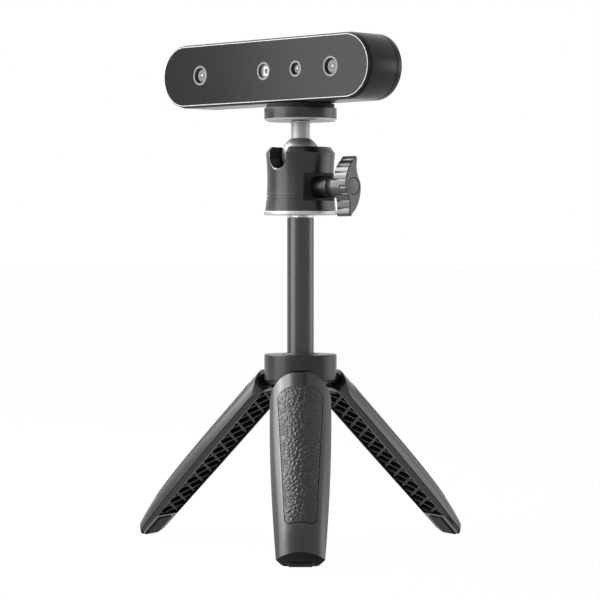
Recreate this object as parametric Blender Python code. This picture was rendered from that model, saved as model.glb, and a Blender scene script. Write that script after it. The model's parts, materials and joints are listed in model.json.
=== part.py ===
"""Bar-shaped structured-light scanner on a ball head and a folding mini tripod.

The column axis is the Z axis while the model is built, and the front leg points along -Y.
The last step moves everything so that the origin is the middle of the footprint, on the floor.
"""

import math

import bmesh
import bpy
from mathutils import Matrix, Vector

MM = 0.001
DEG = math.pi / 180.0

# Clearances
GAP = 0.3 * MM
OVERRUN = 2.0 * MM
SMOOTH_ANGLE = 32.0 * DEG

# Facets of round pieces
FINE = 32
MEDIUM = 20
COARSE = 14
SMALL = 8
HEXAGON = 6

# Tripod legs, measured down from the hinge pin
LEG_AZIMUTHS = {"front": -90.0 * DEG, "left": 150.0 * DEG, "right": 30.0 * DEG}
LEG_OPEN_ANGLE = 44.4 * DEG
LEG_LENGTH = 105.7 * MM
LEG_TOP = 4.0 * MM
LEG_CORNER_RADIUS = 9.0 * MM
LEG_WIDTH = 28.6 * MM
LEG_TOE_WIDTH = 21.4 * MM
LEG_THICKNESS = 9.35 * MM
LEG_TOE_THICKNESS = 5.05 * MM
LEG_TAPER_START = 20.0 * MM
LEG_TOE_BEVEL = 3.3 * MM
LEG_TOE_WIDTH_share = 0.77
LEG_TOE_THICKNESS_share = 0.85
LEG_SIDE_FACE_share = 0.262
LEG_WIDTH_POWER = 1.85
LEG_BOW_POWER = 2.6
LEG_SECTIONS = 6
LEG_ARC_STEPS = 8
FOLDED_PLANE_RADIUS = 8.0 * MM
SECTOR_HALF_ANGLE = 60.0 * DEG

# Leg wall, lattice and pads
LEG_WALL = 1.1 * MM
LEG_CROWN_WALL = 3.3 * MM
LATTICE_START = 10.6 * MM
LATTICE_END = 92.2 * MM
LATTICE_RECESS = 0.7 * MM
HOLLOW_SHOULDER_SLOPE = 1.03
HOLLOW_CREASE_share = 0.22
LATTICE_PITCH = 6.9 * MM
LATTICE_CROSSING = 10.35 * MM
LATTICE_PHASE_share = 0.2
RIB_THICKNESS = 1.2 * MM
GRIP_START = 12.2 * MM
GRIP_END = 89.0 * MM
GRIP_TOP_WIDTH = 20.4 * MM
GRIP_BOTTOM_WIDTH = 13.8 * MM
GRIP_TOP_RADIUS = 4.5 * MM
GRIP_BOTTOM_RADIUS = 2.9 * MM
GRIP_THICKNESS = 0.9 * MM
GRIP_PROUD = 0.15 * MM
FOOT_START = 94.3 * MM
FOOT_WIDTH = 10.4 * MM
FOOT_DEPTH = 2.7 * MM
FOOT_PROUD = 0.6 * MM
FOOT_FLAT = 1.0 * MM

# Hinge
PIN_AXIS_RADIUS = 11.8 * MM
PIN_RADIUS = 1.0 * MM
PIN_FROM_LEG_EDGE = 6.1 * MM
PIN_LENGTH = LEG_WIDTH - 2 * PIN_FROM_LEG_EDGE
TONGUE_WIDTH = 8.9 * MM
KNUCKLE_RADIUS = 2.7 * MM
TONGUE_NOSE = 4.4 * MM
TONGUE_FRONT = 4.7 * MM
TONGUE_ROOT = 10.0 * MM

# Hub
HUB_RADIUS = 16.85 * MM
HUB_HEIGHT = 13.0 * MM
HUB_BELOW_PIN = 3.0 * MM
HUB_TOP_FILLET = 0.8 * MM
RETAINER_THICKNESS = 0.9 * MM
RETAINER_CHAMFER = 0.9 * MM
RETAINER_HOLE = 7.6 * MM
SADDLE_WIDTH = 2.0 * MM
RETAINER_SCREW_CIRCLE = 12.2 * MM
RETAINER_SCREW_RADIUS = 0.9 * MM
RETAINER_SCREW_HEAD = 1.7 * MM
RETAINER_SCREW_LENGTH = 6.5 * MM
BUSH_RADIUS = 8.3 * MM
BUSH_DEPTH = 2.2 * MM
BUSH_PROUD = 0.5 * MM

# Column
COLUMN_RADIUS = 6.25 * MM
COLUMN_WALL = 0.95 * MM
COLUMN_VISIBLE = 64.5 * MM
STOP_RADIUS = 7.0 * MM
STOP_THICKNESS = 2.0 * MM
STOP_ABOVE_HUB_BOTTOM = 0.4 * MM
PLUG_LENGTH = 8.0 * MM
PLUG_FLANGE = 0.5 * MM
PAN_STUD_RADIUS = 3.0 * MM
PAN_STUD_LENGTH = 8.3 * MM

# Ball head
HEAD_HEIGHT = 31.4 * MM
BASE_RING_RADIUS = 17.0 * MM
BASE_RING_HEIGHT = 1.8 * MM
HEAD_BASE_RADIUS = 16.5 * MM
HEAD_WAIST_RADIUS = 15.46 * MM
HEAD_SHOULDER_RADIUS = 16.1 * MM
HEAD_RIM_RADIUS = 14.1 * MM
HEAD_WAIST_HEIGHT = 14.2 * MM
HEAD_SHOULDER_HEIGHT = 25.6 * MM
HEAD_BODY_HEIGHT = 29.6 * MM
BALL_RADIUS = 9.0 * MM
BALL_HEIGHT = 27.7 * MM
SLOT_WIDTH = 9.6 * MM
SLOT_BEVEL = 0.7 * MM
SLOT_DEPTH = 10.1 * MM
SLOT_STEPS = 8
HEAD_AZIMUTH = -135.0 * DEG
STEM_RADIUS = 4.3 * MM
STEM_FILLET = 1.2 * MM
COLLAR_RADIUS = 5.4 * MM
COLLAR_HEIGHT = 0.7 * MM
CUP_RIM_RADIUS = 8.0 * MM
CUP_FLOOR = 1.3 * MM
CUP_BOSS_RADIUS = 4.6 * MM
CUP_BOSS_TIP = 1.2 * MM
CUP_BOSS_HEIGHT = 6.2 * MM
INNER_BASE_THICKNESS = 2.9 * MM
NUT_RADIUS = 5.2 * MM
NUT_HEIGHT = 2.4 * MM

# Clamp knob, measured out from the column axis
KNOB_HEIGHT = 10.8 * MM
KNOB_TURN = 90.0 * DEG
KNOB_FLAT_RADIUS = 11.0 * MM
KNOB_FLAT_WIDTH = 21.4 * MM
KNOB_FLAT_HEIGHT = 12.8 * MM
KNOB_FLAT_CORNER = 1.0 * MM
KNOB_BOSS_RADIUS = 5.15 * MM
KNOB_BOSS_END = 16.2 * MM
SEAL_RADIUS = 4.9 * MM
SEAL_THICKNESS = 1.4 * MM
WASHER_RADIUS = 5.6 * MM
WASHER_THICKNESS = 1.0 * MM
KNOB_HUB_RADIUS = 5.2 * MM
KNOB_FACE = 32.6 * MM
WING_THICKNESS = 7.0 * MM
WING_LENGTH = 27.6 * MM
WING_WIDTH = 10.2 * MM
WING_BEVEL = 0.5 * MM
WING_RIB_DEPTH = 0.25 * MM
# Half of the S-shaped outline, as shares of the half width and the half length
WING_shares = (
    (1.0, 0.02), (0.93, 0.14), (0.70, 0.30), (0.52, 0.50), (0.46, 0.70), (0.53, 0.92),
    (0.30, 1.00), (-0.03, 0.88), (-0.48, 0.70), (-0.80, 0.46), (-0.98, 0.20),
)
WING_STEPS = 2
CLAMP_SCREW_RADIUS = 2.0 * MM
CLAMP_SCREW_HEAD = 3.4 * MM
CLAMP_HEAD_LENGTH = 3.0 * MM
CLAMP_TIP_RADIUS = 2.2 * MM
CLAMP_TIP_LENGTH = 2.4 * MM
CLAMP_TIP_NOSE = 1.0 * MM
CAP_RADIUS = 3.8 * MM
CAP_THICKNESS = 2.4 * MM

# Top plate
PLATE_RADIUS = 16.85 * MM
PLATE_THICKNESS = 6.3 * MM
PLATE_CHAMFER = 1.0 * MM
PLATE_ABOVE_BALL = 15.8 * MM
PAD_RADIUS = 15.8 * MM
PAD_THICKNESS = 1.4 * MM
PAD_PROUD = 0.8 * MM
MOUNT_STUD_RADIUS = 3.0 * MM
MOUNT_STUD_DOWN = 8.5 * MM
MOUNT_STUD_UP = 5.6 * MM

# Scanner, with depths measured back from the front of the bezel
BODY_LENGTH = 136.0 * MM
BODY_HEIGHT = 28.9 * MM
BODY_DEPTH = 21.5 * MM
BODY_YAW = -45.0 * DEG
BODY_OFFSET = 14.3 * MM
BODY_WALL = 1.8 * MM
END_STEPS = 8
BEZEL_INSET = 0.5 * MM
BEZEL_WIDTH = 1.2 * MM
BEZEL_DEPTH = 1.8 * MM
BEZEL_CHAMFER = 0.45 * MM
WINDOW_RECESS = 0.25 * MM
BODY_EDGE = 0.5 * MM
FLANGE_THICKNESS = 1.2 * MM
FLANGE_WIDTH = 3.6 * MM
COVER_DEPTH = 3.7 * MM
COVER_FILLET = 1.8 * MM
COVER_PLUG_INSET = 3.4 * MM
COVER_PLUG_LENGTH = 1.8 * MM
GASKET_WIDTH = 1.0 * MM
GASKET_DEPTH = 1.2 * MM
BENCH_THICKNESS = 1.5 * MM
CAMERA_FROM_END = 24.6 * MM
CAMERA_SPACING = BODY_LENGTH - 2 * CAMERA_FROM_END
COLOUR_CAMERA_share = 0.24193548
COLOUR_CAMERA_X = CAMERA_SPACING * COLOUR_CAMERA_share
IR_RING_RADIUS = 4.8 * MM
PROJECTOR_RING_RADIUS = 4.4 * MM
COLOUR_RING_RADIUS = 3.95 * MM
RING_WIDTH = 0.45 * MM
RING_FRONT = 0.15 * MM
BARREL_FRONT = 1.5 * MM
BARREL_REAR = 9.8 * MM
BARREL_FLANGE_WIDTH = 1.4 * MM
BARREL_LENS_SEAT = 0.5 * MM
IR_LENS_RADIUS = 3.0 * MM
COLOUR_LENS_RADIUS = 1.8 * MM
LENS_DOME = 0.35 * MM
PROJECTOR_WINDOW_SIDE = 4.6 * MM
BOARD_THICKNESS = 1.0 * MM
BENCH_FROM_END = 12.0 * MM
BENCH_FROM_EDGE = 2.35 * MM
BENCH_LENGTH = BODY_LENGTH - 2 * BENCH_FROM_END
BENCH_HEIGHT = BODY_HEIGHT - 2 * BENCH_FROM_EDGE
BENCH_CORNER = 6.0 * MM
BOARD_FROM_END = 20.0 * MM
BOARD_FROM_EDGE = 5.95 * MM
MAIN_BOARD_LENGTH = BODY_LENGTH - 2 * BOARD_FROM_END
MAIN_BOARD_HEIGHT = BODY_HEIGHT - 2 * BOARD_FROM_EDGE
MAIN_BOARD_RISE = 1.7 * MM
THERMAL_PAD_SIDE = 14.0 * MM
THERMAL_PAD_THICKNESS = 0.6 * MM
SPREADER_FROM_END = 26.0 * MM
SPREADER_FROM_EDGE = 1.0 * MM
SPREADER_LENGTH = MAIN_BOARD_LENGTH - 2 * SPREADER_FROM_END
SPREADER_HEIGHT = MAIN_BOARD_HEIGHT - 2 * SPREADER_FROM_EDGE
SPREADER_THICKNESS = 1.2 * MM
USB_FROM_END = 12.0 * MM
USB_X = USB_FROM_END - MAIN_BOARD_LENGTH / 2
USB_WIDTH = 8.9 * MM
USB_HEIGHT = 3.2 * MM
USB_WALL = 0.5 * MM
USB_RECESS = 0.5 * MM
USB_TONGUE = 0.7 * MM
USB_SOCKET_DEPTH = 5.0 * MM
COVER_SCREW_FROM_END = 8.0 * MM
COVER_SCREW_X = BODY_LENGTH / 2 - COVER_SCREW_FROM_END
COVER_SCREW_RADIUS = 1.0 * MM
COVER_SCREW_HEAD = 1.9 * MM
COVER_SCREW_HEAD_DEPTH = 1.2 * MM
COVER_SCREW_LENGTH = 10.0 * MM
SCREW_POST_RADIUS = 2.4 * MM
SCREW_POST_WEB = 1.6 * MM
BENCH_SCREW_FROM_CAMERA = 10.4 * MM
BENCH_SCREW_FROM_EDGE = 5.05 * MM
BENCH_SCREW_X = CAMERA_SPACING / 2 - BENCH_SCREW_FROM_CAMERA
BENCH_SCREW_Z = BODY_HEIGHT / 2 - BENCH_SCREW_FROM_EDGE
BENCH_LUG_RADIUS = 2.3 * MM
BENCH_SCREW_RADIUS = 0.8 * MM
BENCH_SCREW_HEAD = 1.5 * MM
BENCH_SCREW_HEAD_DEPTH = 0.8 * MM
INSERT_RADIUS = 3.9 * MM
INSERT_FLANGE_RADIUS = 6.0 * MM
INSERT_FLANGE = 0.6 * MM
INSERT_LENGTH = 6.0 * MM
INSERT_POST_RADIUS = 4.9 * MM

# Places worked out from the sizes above
OPEN_PLANE = FOLDED_PLANE_RADIUS - PIN_AXIS_RADIUS
FOOT_FACE_X = OPEN_PLANE - FOOT_PROUD
FOOT_FACE_S = LEG_LENGTH + FOOT_PROUD - FOOT_FLAT * math.sin(LEG_OPEN_ANGLE)
PIN_Z = FOOT_FACE_S * math.cos(LEG_OPEN_ANGLE) - FOOT_FACE_X * math.sin(LEG_OPEN_ANGLE)
HUB_BOTTOM = PIN_Z - HUB_BELOW_PIN
HUB_TOP = HUB_BOTTOM + HUB_HEIGHT
HEAD_BOTTOM = HUB_TOP + COLUMN_VISIBLE
HOUSING_BOTTOM = HEAD_BOTTOM + BASE_RING_HEIGHT + GAP
HEAD_TOP = HEAD_BOTTOM + HEAD_HEIGHT
BALL_Z = HEAD_BOTTOM + BALL_HEIGHT
BORE_RADIUS = BALL_RADIUS + GAP
KNOB_Z = HOUSING_BOTTOM + KNOB_HEIGHT
PLATE_BOTTOM = BALL_Z + PLATE_ABOVE_BALL
PLATE_TOP = PLATE_BOTTOM + PLATE_THICKNESS
PAD_TOP = PLATE_TOP + PAD_PROUD
INSERT_BOTTOM = PAD_TOP + GAP
BODY_BOTTOM = INSERT_BOTTOM + INSERT_FLANGE + GAP
BODY_CENTRE_Z = BODY_BOTTOM + BODY_HEIGHT / 2
KNOB_HUB_START = KNOB_BOSS_END + SEAL_THICKNESS + WASHER_THICKNESS + 3 * GAP
WING_BACK = KNOB_FACE - WING_THICKNESS
BODY_FRONT = BEZEL_DEPTH + GAP
COVER_FRONT = BODY_DEPTH - COVER_DEPTH
BODY_BACK = COVER_FRONT - GAP
BENCH_FRONT = BODY_FRONT + FLANGE_THICKNESS + GAP
BENCH_BACK = BENCH_FRONT + BENCH_THICKNESS
MAIN_BOARD_FRONT = BARREL_REAR + GAP


def clear_scene():
    for old in list(bpy.data.objects):
        bpy.data.objects.remove(old, do_unlink=True)


def finish(name, colour, roughness, metallic=0.0):
    """One Principled material for one sub-part."""
    material = bpy.data.materials.new(name)
    material.use_nodes = True
    shader = material.node_tree.nodes["Principled BSDF"]
    shader.inputs["Base Color"].default_value = (*colour, 1.0)
    shader.inputs["Roughness"].default_value = roughness
    shader.inputs["Metallic"].default_value = metallic
    return material


BLACK = (0.018, 0.018, 0.019)
DARK = (0.035, 0.035, 0.037)
RUBBER = (0.025, 0.025, 0.025)
STEEL = (0.55, 0.55, 0.56)
ALUMINIUM = (0.75, 0.75, 0.76)
BRASS = (0.62, 0.45, 0.18)
BOARD = (0.02, 0.11, 0.05)
GLASS = (0.03, 0.03, 0.035)


def mesh_object(name, bm):
    """An object from a bmesh, with its faces turned outward."""
    bmesh.ops.recalc_face_normals(bm, faces=bm.faces)
    mesh = bpy.data.meshes.new(name)
    bm.to_mesh(mesh)
    bm.free()
    made = bpy.data.objects.new(name, mesh)
    bpy.context.scene.collection.objects.link(made)
    return made


def revolve(name, profile, segments=FINE):
    """A turned solid from a closed (radius, height) profile; radius zero is a pole."""
    bm = bmesh.new()
    rings = []
    for radius, height in profile:
        if radius == 0:
            rings.append([bm.verts.new((0, 0, height))])
            continue
        ring = []
        for index in range(segments):
            angle = 2 * math.pi * index / segments
            x, y = radius * math.cos(angle), radius * math.sin(angle)
            ring.append(bm.verts.new((x, y, height)))
        rings.append(ring)
    closed = all(len(ring) > 1 for ring in rings)
    pairs = list(zip(rings, rings[1:]))
    if closed:
        pairs.append((rings[-1], rings[0]))
    for lower, upper in pairs:
        for index in range(segments):
            after = (index + 1) % segments
            corners = [lower[index % len(lower)], lower[after % len(lower)]]
            corners += [upper[after % len(upper)], upper[index % len(upper)]]
            unique = list(dict.fromkeys(corners))
            if len(unique) > 2:
                bm.faces.new(unique)
    return mesh_object(name, bm)


def loft(name, rings):
    """A solid from closed rings of equally many points, capped at both ends."""
    bm = bmesh.new()
    made = [[bm.verts.new(point) for point in ring] for ring in rings]
    for lower, upper in zip(made, made[1:]):
        for index in range(len(lower)):
            after = (index + 1) % len(lower)
            bm.faces.new((lower[index], lower[after], upper[after], upper[index]))
    bm.faces.new(made[0])
    bm.faces.new(made[-1])
    return mesh_object(name, bm)


def prism(name, outline, low, high):
    """An outline in X and Y, extruded along Z from low to high."""
    return loft(name, [[(x, y, z) for x, y in outline] for z in (low, high)])


def box(name, low, high):
    outline = [(low[0], low[1]), (high[0], low[1]), (high[0], high[1]), (low[0], high[1])]
    return prism(name, outline, low[2], high[2])


def cylinder(name, radius, low, high, segments=MEDIUM):
    return revolve(name, [(0, low), (radius, low), (radius, high), (0, high)], segments)


def tube(name, outer, inner, low, high, segments=FINE):
    return revolve(name, [(outer, low), (outer, high), (inner, high), (inner, low)], segments)


def arc(centre, radius, start, end, steps):
    """Points along a circular arc, both ends included."""
    points = []
    for index in range(steps + 1):
        angle = start + (end - start) * index / steps
        points.append((centre[0] + radius * math.cos(angle), centre[1] + radius * math.sin(angle)))
    return points


def stadium(length, height, inset=0.0, steps=END_STEPS):
    """A slot-shaped outline in X and Y, made smaller all round by the inset."""
    radius = height / 2 - inset
    centre = length / 2 - height / 2
    right = arc((centre, 0), radius, -math.pi / 2, math.pi / 2, steps)
    left = arc((-centre, 0), radius, math.pi / 2, 3 * math.pi / 2, steps)
    return right + left


def rounded_rectangle(width, height, radius, steps=4):
    points = []
    for quarter, (sx, sy) in enumerate(((1, -1), (1, 1), (-1, 1), (-1, -1))):
        centre = (sx * (width / 2 - radius), sy * (height / 2 - radius))
        start = (quarter - 1) * math.pi / 2
        points += arc(centre, radius, start, start + math.pi / 2, steps)
    return points


def move(piece, matrix):
    """Moves a piece's mesh, which leaves its origin where it is."""
    piece.data.transform(matrix)
    if matrix.determinant() < 0:
        piece.data.flip_normals()
    return piece


def bake(piece):
    """Turns the piece's modifiers into its mesh."""
    graph = bpy.context.evaluated_depsgraph_get()
    graph.update()
    piece.data = bpy.data.meshes.new_from_object(piece.evaluated_get(graph))
    piece.modifiers.clear()
    return piece


def combine(piece, others, operation):
    """Cuts, joins or intersects with each of the others, which are used up."""
    for other in others:
        step = piece.modifiers.new(operation.lower(), "BOOLEAN")
        step.operation = operation
        step.solver = "EXACT"
        step.object = other
        bake(piece)
        bpy.data.objects.remove(other, do_unlink=True)
    return piece


def cut(piece, *others):
    return combine(piece, others, "DIFFERENCE")


def join(piece, *others):
    return combine(piece, others, "UNION")


def keep(piece, *others):
    return combine(piece, others, "INTERSECT")


def empty(name, parent=None, location=(0, 0, 0), rotation=(0, 0, 0)):
    made = bpy.data.objects.new(name, None)
    bpy.context.scene.collection.objects.link(made)
    made.parent = parent
    made.location = location
    made.rotation_euler = rotation
    return made


def settle(piece, parent, colour, roughness, metallic=0.0):
    """Gives a finished piece its parent, its material and its shading."""
    piece.parent = parent
    piece.data.materials.clear()
    piece.data.materials.append(finish(piece.name, colour, roughness, metallic))
    piece.data.shade_smooth()
    piece.data.set_sharp_from_angle(angle=SMOOTH_ANGLE)
    return piece


# Legs: X runs outward from the pin, Y across the leg and Z up


def leg_half_width(s):
    bevel_start = LEG_LENGTH - LEG_TOE_BEVEL
    share = max(0.0, (min(s, bevel_start) - LEG_TAPER_START) / (bevel_start - LEG_TAPER_START))
    width = LEG_WIDTH - (LEG_WIDTH - LEG_TOE_WIDTH) * share ** LEG_WIDTH_POWER
    if s > bevel_start:
        width *= 1 - (1 - LEG_TOE_WIDTH_share) * (s - bevel_start) / LEG_TOE_BEVEL
    return width / 2


def leg_crown(s):
    bevel_start = LEG_LENGTH - LEG_TOE_BEVEL
    share = min(1.0, s / bevel_start)
    crown = LEG_THICKNESS - (LEG_THICKNESS - LEG_TOE_THICKNESS) * share ** LEG_BOW_POWER
    if s > bevel_start:
        crown *= 1 - (1 - LEG_TOE_THICKNESS_share) * (s - bevel_start) / LEG_TOE_BEVEL
    return crown


def leg_back(s):
    """The radius of the arched back at s, and its centre measured out from the open face."""
    half = leg_half_width(s)
    rise = leg_crown(s) * (1 - LEG_SIDE_FACE_share)
    radius = (half ** 2 + rise ** 2) / (2 * rise)
    return radius, leg_crown(s) - radius


def leg_foot(s):
    """Half the width of the open face at s, where the leaning sides end."""
    return leg_half_width(s) - leg_crown(s) * LEG_SIDE_FACE_share * math.tan(SECTOR_HALF_ANGLE)


def leg_ring(s):
    """The leg's section at s: an arched back on flat sides that lean in to the open face."""
    radius, centre = leg_back(s)
    sweep = math.asin(leg_half_width(s) / radius)
    back = arc((OPEN_PLANE + centre, 0), radius, sweep, -sweep, LEG_ARC_STEPS)
    ring = [(OPEN_PLANE, leg_foot(s))] + back + [(OPEN_PLANE, -leg_foot(s))]
    return [(x, y, -s) for x, y in ring]


def hollow_ring(s):
    """The hollow's section at s: a flat floor on two shoulders, with sides beside the leaning walls.

    The slopes are the same at every s, so each side of the hollow is one flat face.
    """
    slope = math.tan(SECTOR_HALF_ANGLE)
    depth = leg_crown(s) - LEG_CROWN_WALL
    foot = leg_foot(s) - LEG_WALL * math.hypot(1, slope)
    crease = leg_crown(s) * HOLLOW_CREASE_share
    crease_y = foot + crease * slope
    shoulder_y = crease_y - (depth - crease) / HOLLOW_SHOULDER_SLOPE
    low = foot - OVERRUN * slope
    half = [(-OVERRUN, low), (crease, crease_y), (depth, shoulder_y)]
    ring = half + [(x, -y) for x, y in reversed(half)]
    return [(OPEN_PLANE + x, y, -s) for x, y in ring]


def skin_ring(s, offset, below):
    """A section that follows the leg's back at an offset, with straight sides."""
    radius, centre = leg_back(s)
    sweep = math.asin(leg_half_width(s) / radius)
    back = arc((OPEN_PLANE + centre, 0), radius + offset, sweep, -sweep, LEG_ARC_STEPS)
    edge = back[0][1]
    ring = [(OPEN_PLANE - below, edge)] + back + [(OPEN_PLANE - below, -edge)]
    return [(x, y, -s) for x, y in ring]


def spread(start, end, count):
    return [start + (end - start) * index / (count - 1) for index in range(count)]


def across(name, outline, half_width):
    """An outline in X and Z, extruded along Y to both sides."""
    rings = [[(x, y, z) for x, z in outline] for y in (-half_width, half_width)]
    return loft(name, rings)


def through_back(name, outline):
    """An outline in Y and s, extruded along X right through the leg."""
    reach = LEG_THICKNESS + OVERRUN
    rings = [[(x, y, -s) for y, s in outline] for x in (OPEN_PLANE - OVERRUN, OPEN_PLANE + reach)]
    return loft(name, rings)


def arch_outline():
    """The shell's top edge with its two round corners."""
    half = LEG_WIDTH / 2 + OVERRUN / 2
    corner = LEG_CORNER_RADIUS
    centre = (LEG_WIDTH / 2 - corner, LEG_TOP + corner)
    right = arc(centre, corner, 0, -math.pi / 2, 6)
    left = [(-y, s) for y, s in reversed(right)]
    end = LEG_LENGTH + OVERRUN
    shoulder = centre[1] + corner
    return [(half, end), (half, shoulder)] + right + left + [(-half, shoulder), (-half, end)]


def grip_outline(margin):
    """The grip pad's outline in Y and s, with round corners, made larger by the margin."""
    top = GRIP_TOP_WIDTH / 2 + margin
    bottom = GRIP_BOTTOM_WIDTH / 2 + margin
    high = GRIP_START - margin
    low = GRIP_END + margin
    top_radius = GRIP_TOP_RADIUS + margin
    bottom_radius = GRIP_BOTTOM_RADIUS + margin
    lean = math.atan2(top - bottom, low - high)
    right = arc((bottom - bottom_radius, low - bottom_radius), bottom_radius, math.pi / 2, lean, 4)
    right += arc((top - top_radius, high + top_radius), top_radius, lean, -math.pi / 2, 5)
    return right + [(-y, s) for y, s in reversed(right)]


def rib_family(name, side):
    """Parallel ribs that cross the leg's hollow at one slant."""
    hollow = LEG_WIDTH - 4 * LEG_WALL
    slant = side * math.atan2(LATTICE_CROSSING, hollow)
    reach = LEG_WIDTH
    thickness = RIB_THICKNESS / 2
    count = int((LATTICE_END - LATTICE_START + 2 * LATTICE_CROSSING) / LATTICE_PITCH)
    ribs = bmesh.new()
    for index in range(count):
        step = (index + LATTICE_PHASE_share + side / 4) * LATTICE_PITCH
        s = LATTICE_START - LATTICE_CROSSING / 2 + step
        low = (OPEN_PLANE + LATTICE_RECESS, -reach, -thickness)
        high = (OPEN_PLANE + LEG_THICKNESS + OVERRUN, reach, thickness)
        rib = box("rib", low, high)
        move(rib, Matrix.Translation((0, 0, -s)) @ Matrix.Rotation(slant, 4, "X"))
        ribs.from_mesh(rib.data)
        bpy.data.objects.remove(rib, do_unlink=True)
    return mesh_object(name, ribs)


def lattice_hollow():
    """What is cut out of the leg: its hollow, less the crossing ribs."""
    rings = [hollow_ring(s) for s in (LATTICE_START, LATTICE_END)]
    return cut(loft("hollow", rings), rib_family("ribs_a", 1), rib_family("ribs_b", -1))


def tongue_outline():
    """The hinge tongue: a knuckle whose flat top meets the notch when the leg is open."""
    start = math.pi
    end = math.pi / 2 - LEG_OPEN_ANGLE
    outline = arc((0, 0), KNUCKLE_RADIUS, start, end, 6)
    cosine, sine = math.cos(LEG_OPEN_ANGLE), math.sin(LEG_OPEN_ANGLE)
    nose_x = TONGUE_NOSE * cosine + KNUCKLE_RADIUS * sine
    nose_z = -TONGUE_NOSE * sine + KNUCKLE_RADIUS * cosine
    outline.append((nose_x, nose_z))
    outline.append((TONGUE_FRONT, -LEG_TOP - GAP))
    outline.append((TONGUE_FRONT, -TONGUE_ROOT))
    outline.append((-KNUCKLE_RADIUS, -TONGUE_ROOT))
    return outline


def hub_corner_reach():
    """Farthest point of the hub's lower edge from the pin, which the shell must clear."""
    outer = HUB_RADIUS - PIN_AXIS_RADIUS
    low = math.hypot(outer - RETAINER_CHAMFER, HUB_BELOW_PIN)
    high = math.hypot(outer, HUB_BELOW_PIN - RETAINER_CHAMFER)
    return max(low, high)


def turned_across(name, radius, half_width, segments=FINE):
    """A cylinder on the hinge axis."""
    made = cylinder(name, radius, -half_width, half_width, segments)
    return move(made, Matrix.Rotation(math.pi / 2, 4, "X"))


def foot_outline(margin=0.0):
    """The rubber foot's side outline, with a flat that lies on the floor when the leg is open."""
    inner = OPEN_PLANE - FOOT_PROUD
    outer = OPEN_PLANE + FOOT_DEPTH + margin
    end = LEG_LENGTH + FOOT_PROUD
    start = FOOT_START - margin
    flat_x = FOOT_FLAT * math.cos(LEG_OPEN_ANGLE)
    flat_s = FOOT_FLAT * math.sin(LEG_OPEN_ANGLE)
    return [
        (inner, -start), (inner, -end + flat_s), (inner + flat_x, -end), (outer, -end), (outer, -start),
    ]


def leg_shell():
    """One moulded leg: arched shell, lattice, hinge tongue, grip recess and foot pocket."""
    places = spread(LEG_TOP / 2, LEG_LENGTH - LEG_TOE_BEVEL, LEG_SECTIONS) + [LEG_LENGTH]
    shell = loft("leg_shell", [leg_ring(s) for s in places])
    keep(shell, through_back("arch", arch_outline()))
    cut(shell, turned_across("relief", hub_corner_reach() + GAP, LEG_WIDTH, MEDIUM))
    cut(shell, lattice_hollow())
    pocket = []
    for x, z in foot_outline(GAP):
        pocket.append((x - OVERRUN * (x < OPEN_PLANE), z - OVERRUN * (z < -LEG_LENGTH)))
    cut(shell, across("foot_pocket", pocket, FOOT_WIDTH / 2 + GAP))
    cut(shell, grip_solid("recess", GAP, OVERRUN, GRIP_THICKNESS - GRIP_PROUD + GAP))
    join(shell, across("tongue", tongue_outline(), TONGUE_WIDTH / 2))
    cut(shell, turned_across("pin_bore", PIN_RADIUS + GAP, TONGUE_WIDTH, SMALL))
    return shell.data


def grip_solid(name, margin, proud, depth):
    """The pad's outline between two skins that follow the leg's back, one above it and one below."""
    places = spread(GRIP_START - OVERRUN, GRIP_END + OVERRUN, LEG_SECTIONS)
    skin = loft("skin", [skin_ring(s, proud, 0.0) for s in places])
    solid = keep(through_back(name, grip_outline(margin)), skin)
    places = spread(GRIP_START - 2 * OVERRUN, GRIP_END + 2 * OVERRUN, LEG_SECTIONS)
    return cut(solid, loft("floor", [skin_ring(s, -depth, 2 * OVERRUN) for s in places]))


def grip_pad():
    """The leather-grained pad that fills the recess on the leg's back."""
    return grip_solid("grip_pad", 0.0, GRIP_PROUD, GRIP_THICKNESS - GRIP_PROUD).data


def foot_pad():
    return across("foot_pad", foot_outline(), FOOT_WIDTH / 2).data


def copy_of(name, mesh):
    """A repeated piece: its own object, with a mesh that it shares."""
    made = bpy.data.objects.new(name, mesh)
    bpy.context.scene.collection.objects.link(made)
    return made


def build_legs(root):
    shell, pad, foot = leg_shell(), grip_pad(), foot_pad()
    for old in list(bpy.data.objects):
        if old.name in ("leg_shell", "grip_pad", "foot_pad"):
            bpy.data.objects.remove(old, do_unlink=True)
    for side, azimuth in LEG_AZIMUTHS.items():
        place = (PIN_AXIS_RADIUS * math.cos(azimuth), PIN_AXIS_RADIUS * math.sin(azimuth), PIN_Z)
        hinge = empty(f"hinge_{side}", root, place, (0, -LEG_OPEN_ANGLE, azimuth))
        settle(copy_of(f"leg_shell_{side}", shell.copy()), hinge, BLACK, 0.38)
        settle(copy_of(f"grip_pad_{side}", pad.copy()), hinge, RUBBER, 0.6)
        settle(copy_of(f"foot_pad_{side}", foot.copy()), hinge, RUBBER, 0.75)


# Hub


def around(azimuth):
    return Matrix.Rotation(azimuth, 4, "Z")


def notch(azimuth):
    """The slot that a leg's tongue swings in, open below and outward."""
    inner = PIN_AXIS_RADIUS - KNUCKLE_RADIUS - GAP
    half = TONGUE_WIDTH / 2 + GAP
    low = (inner, -half, HUB_BOTTOM - OVERRUN)
    high = (HUB_RADIUS + OVERRUN, half, PIN_Z + KNUCKLE_RADIUS + GAP)
    return move(box("notch", low, high), around(azimuth))


def pin_slot(azimuth):
    """A round-topped slot that the pin is laid into from below."""
    radius = PIN_RADIUS + GAP
    outline = arc((PIN_AXIS_RADIUS, PIN_Z), radius, 0, math.pi, 4)
    low = HUB_BOTTOM - OVERRUN
    outline += [(PIN_AXIS_RADIUS - radius, low), (PIN_AXIS_RADIUS + radius, low)]
    return move(across("pin_slot", outline, PIN_LENGTH / 2 + GAP), around(azimuth))


def screw_azimuths():
    return [azimuth + math.pi / 3 for azimuth in LEG_AZIMUTHS.values()]


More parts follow.
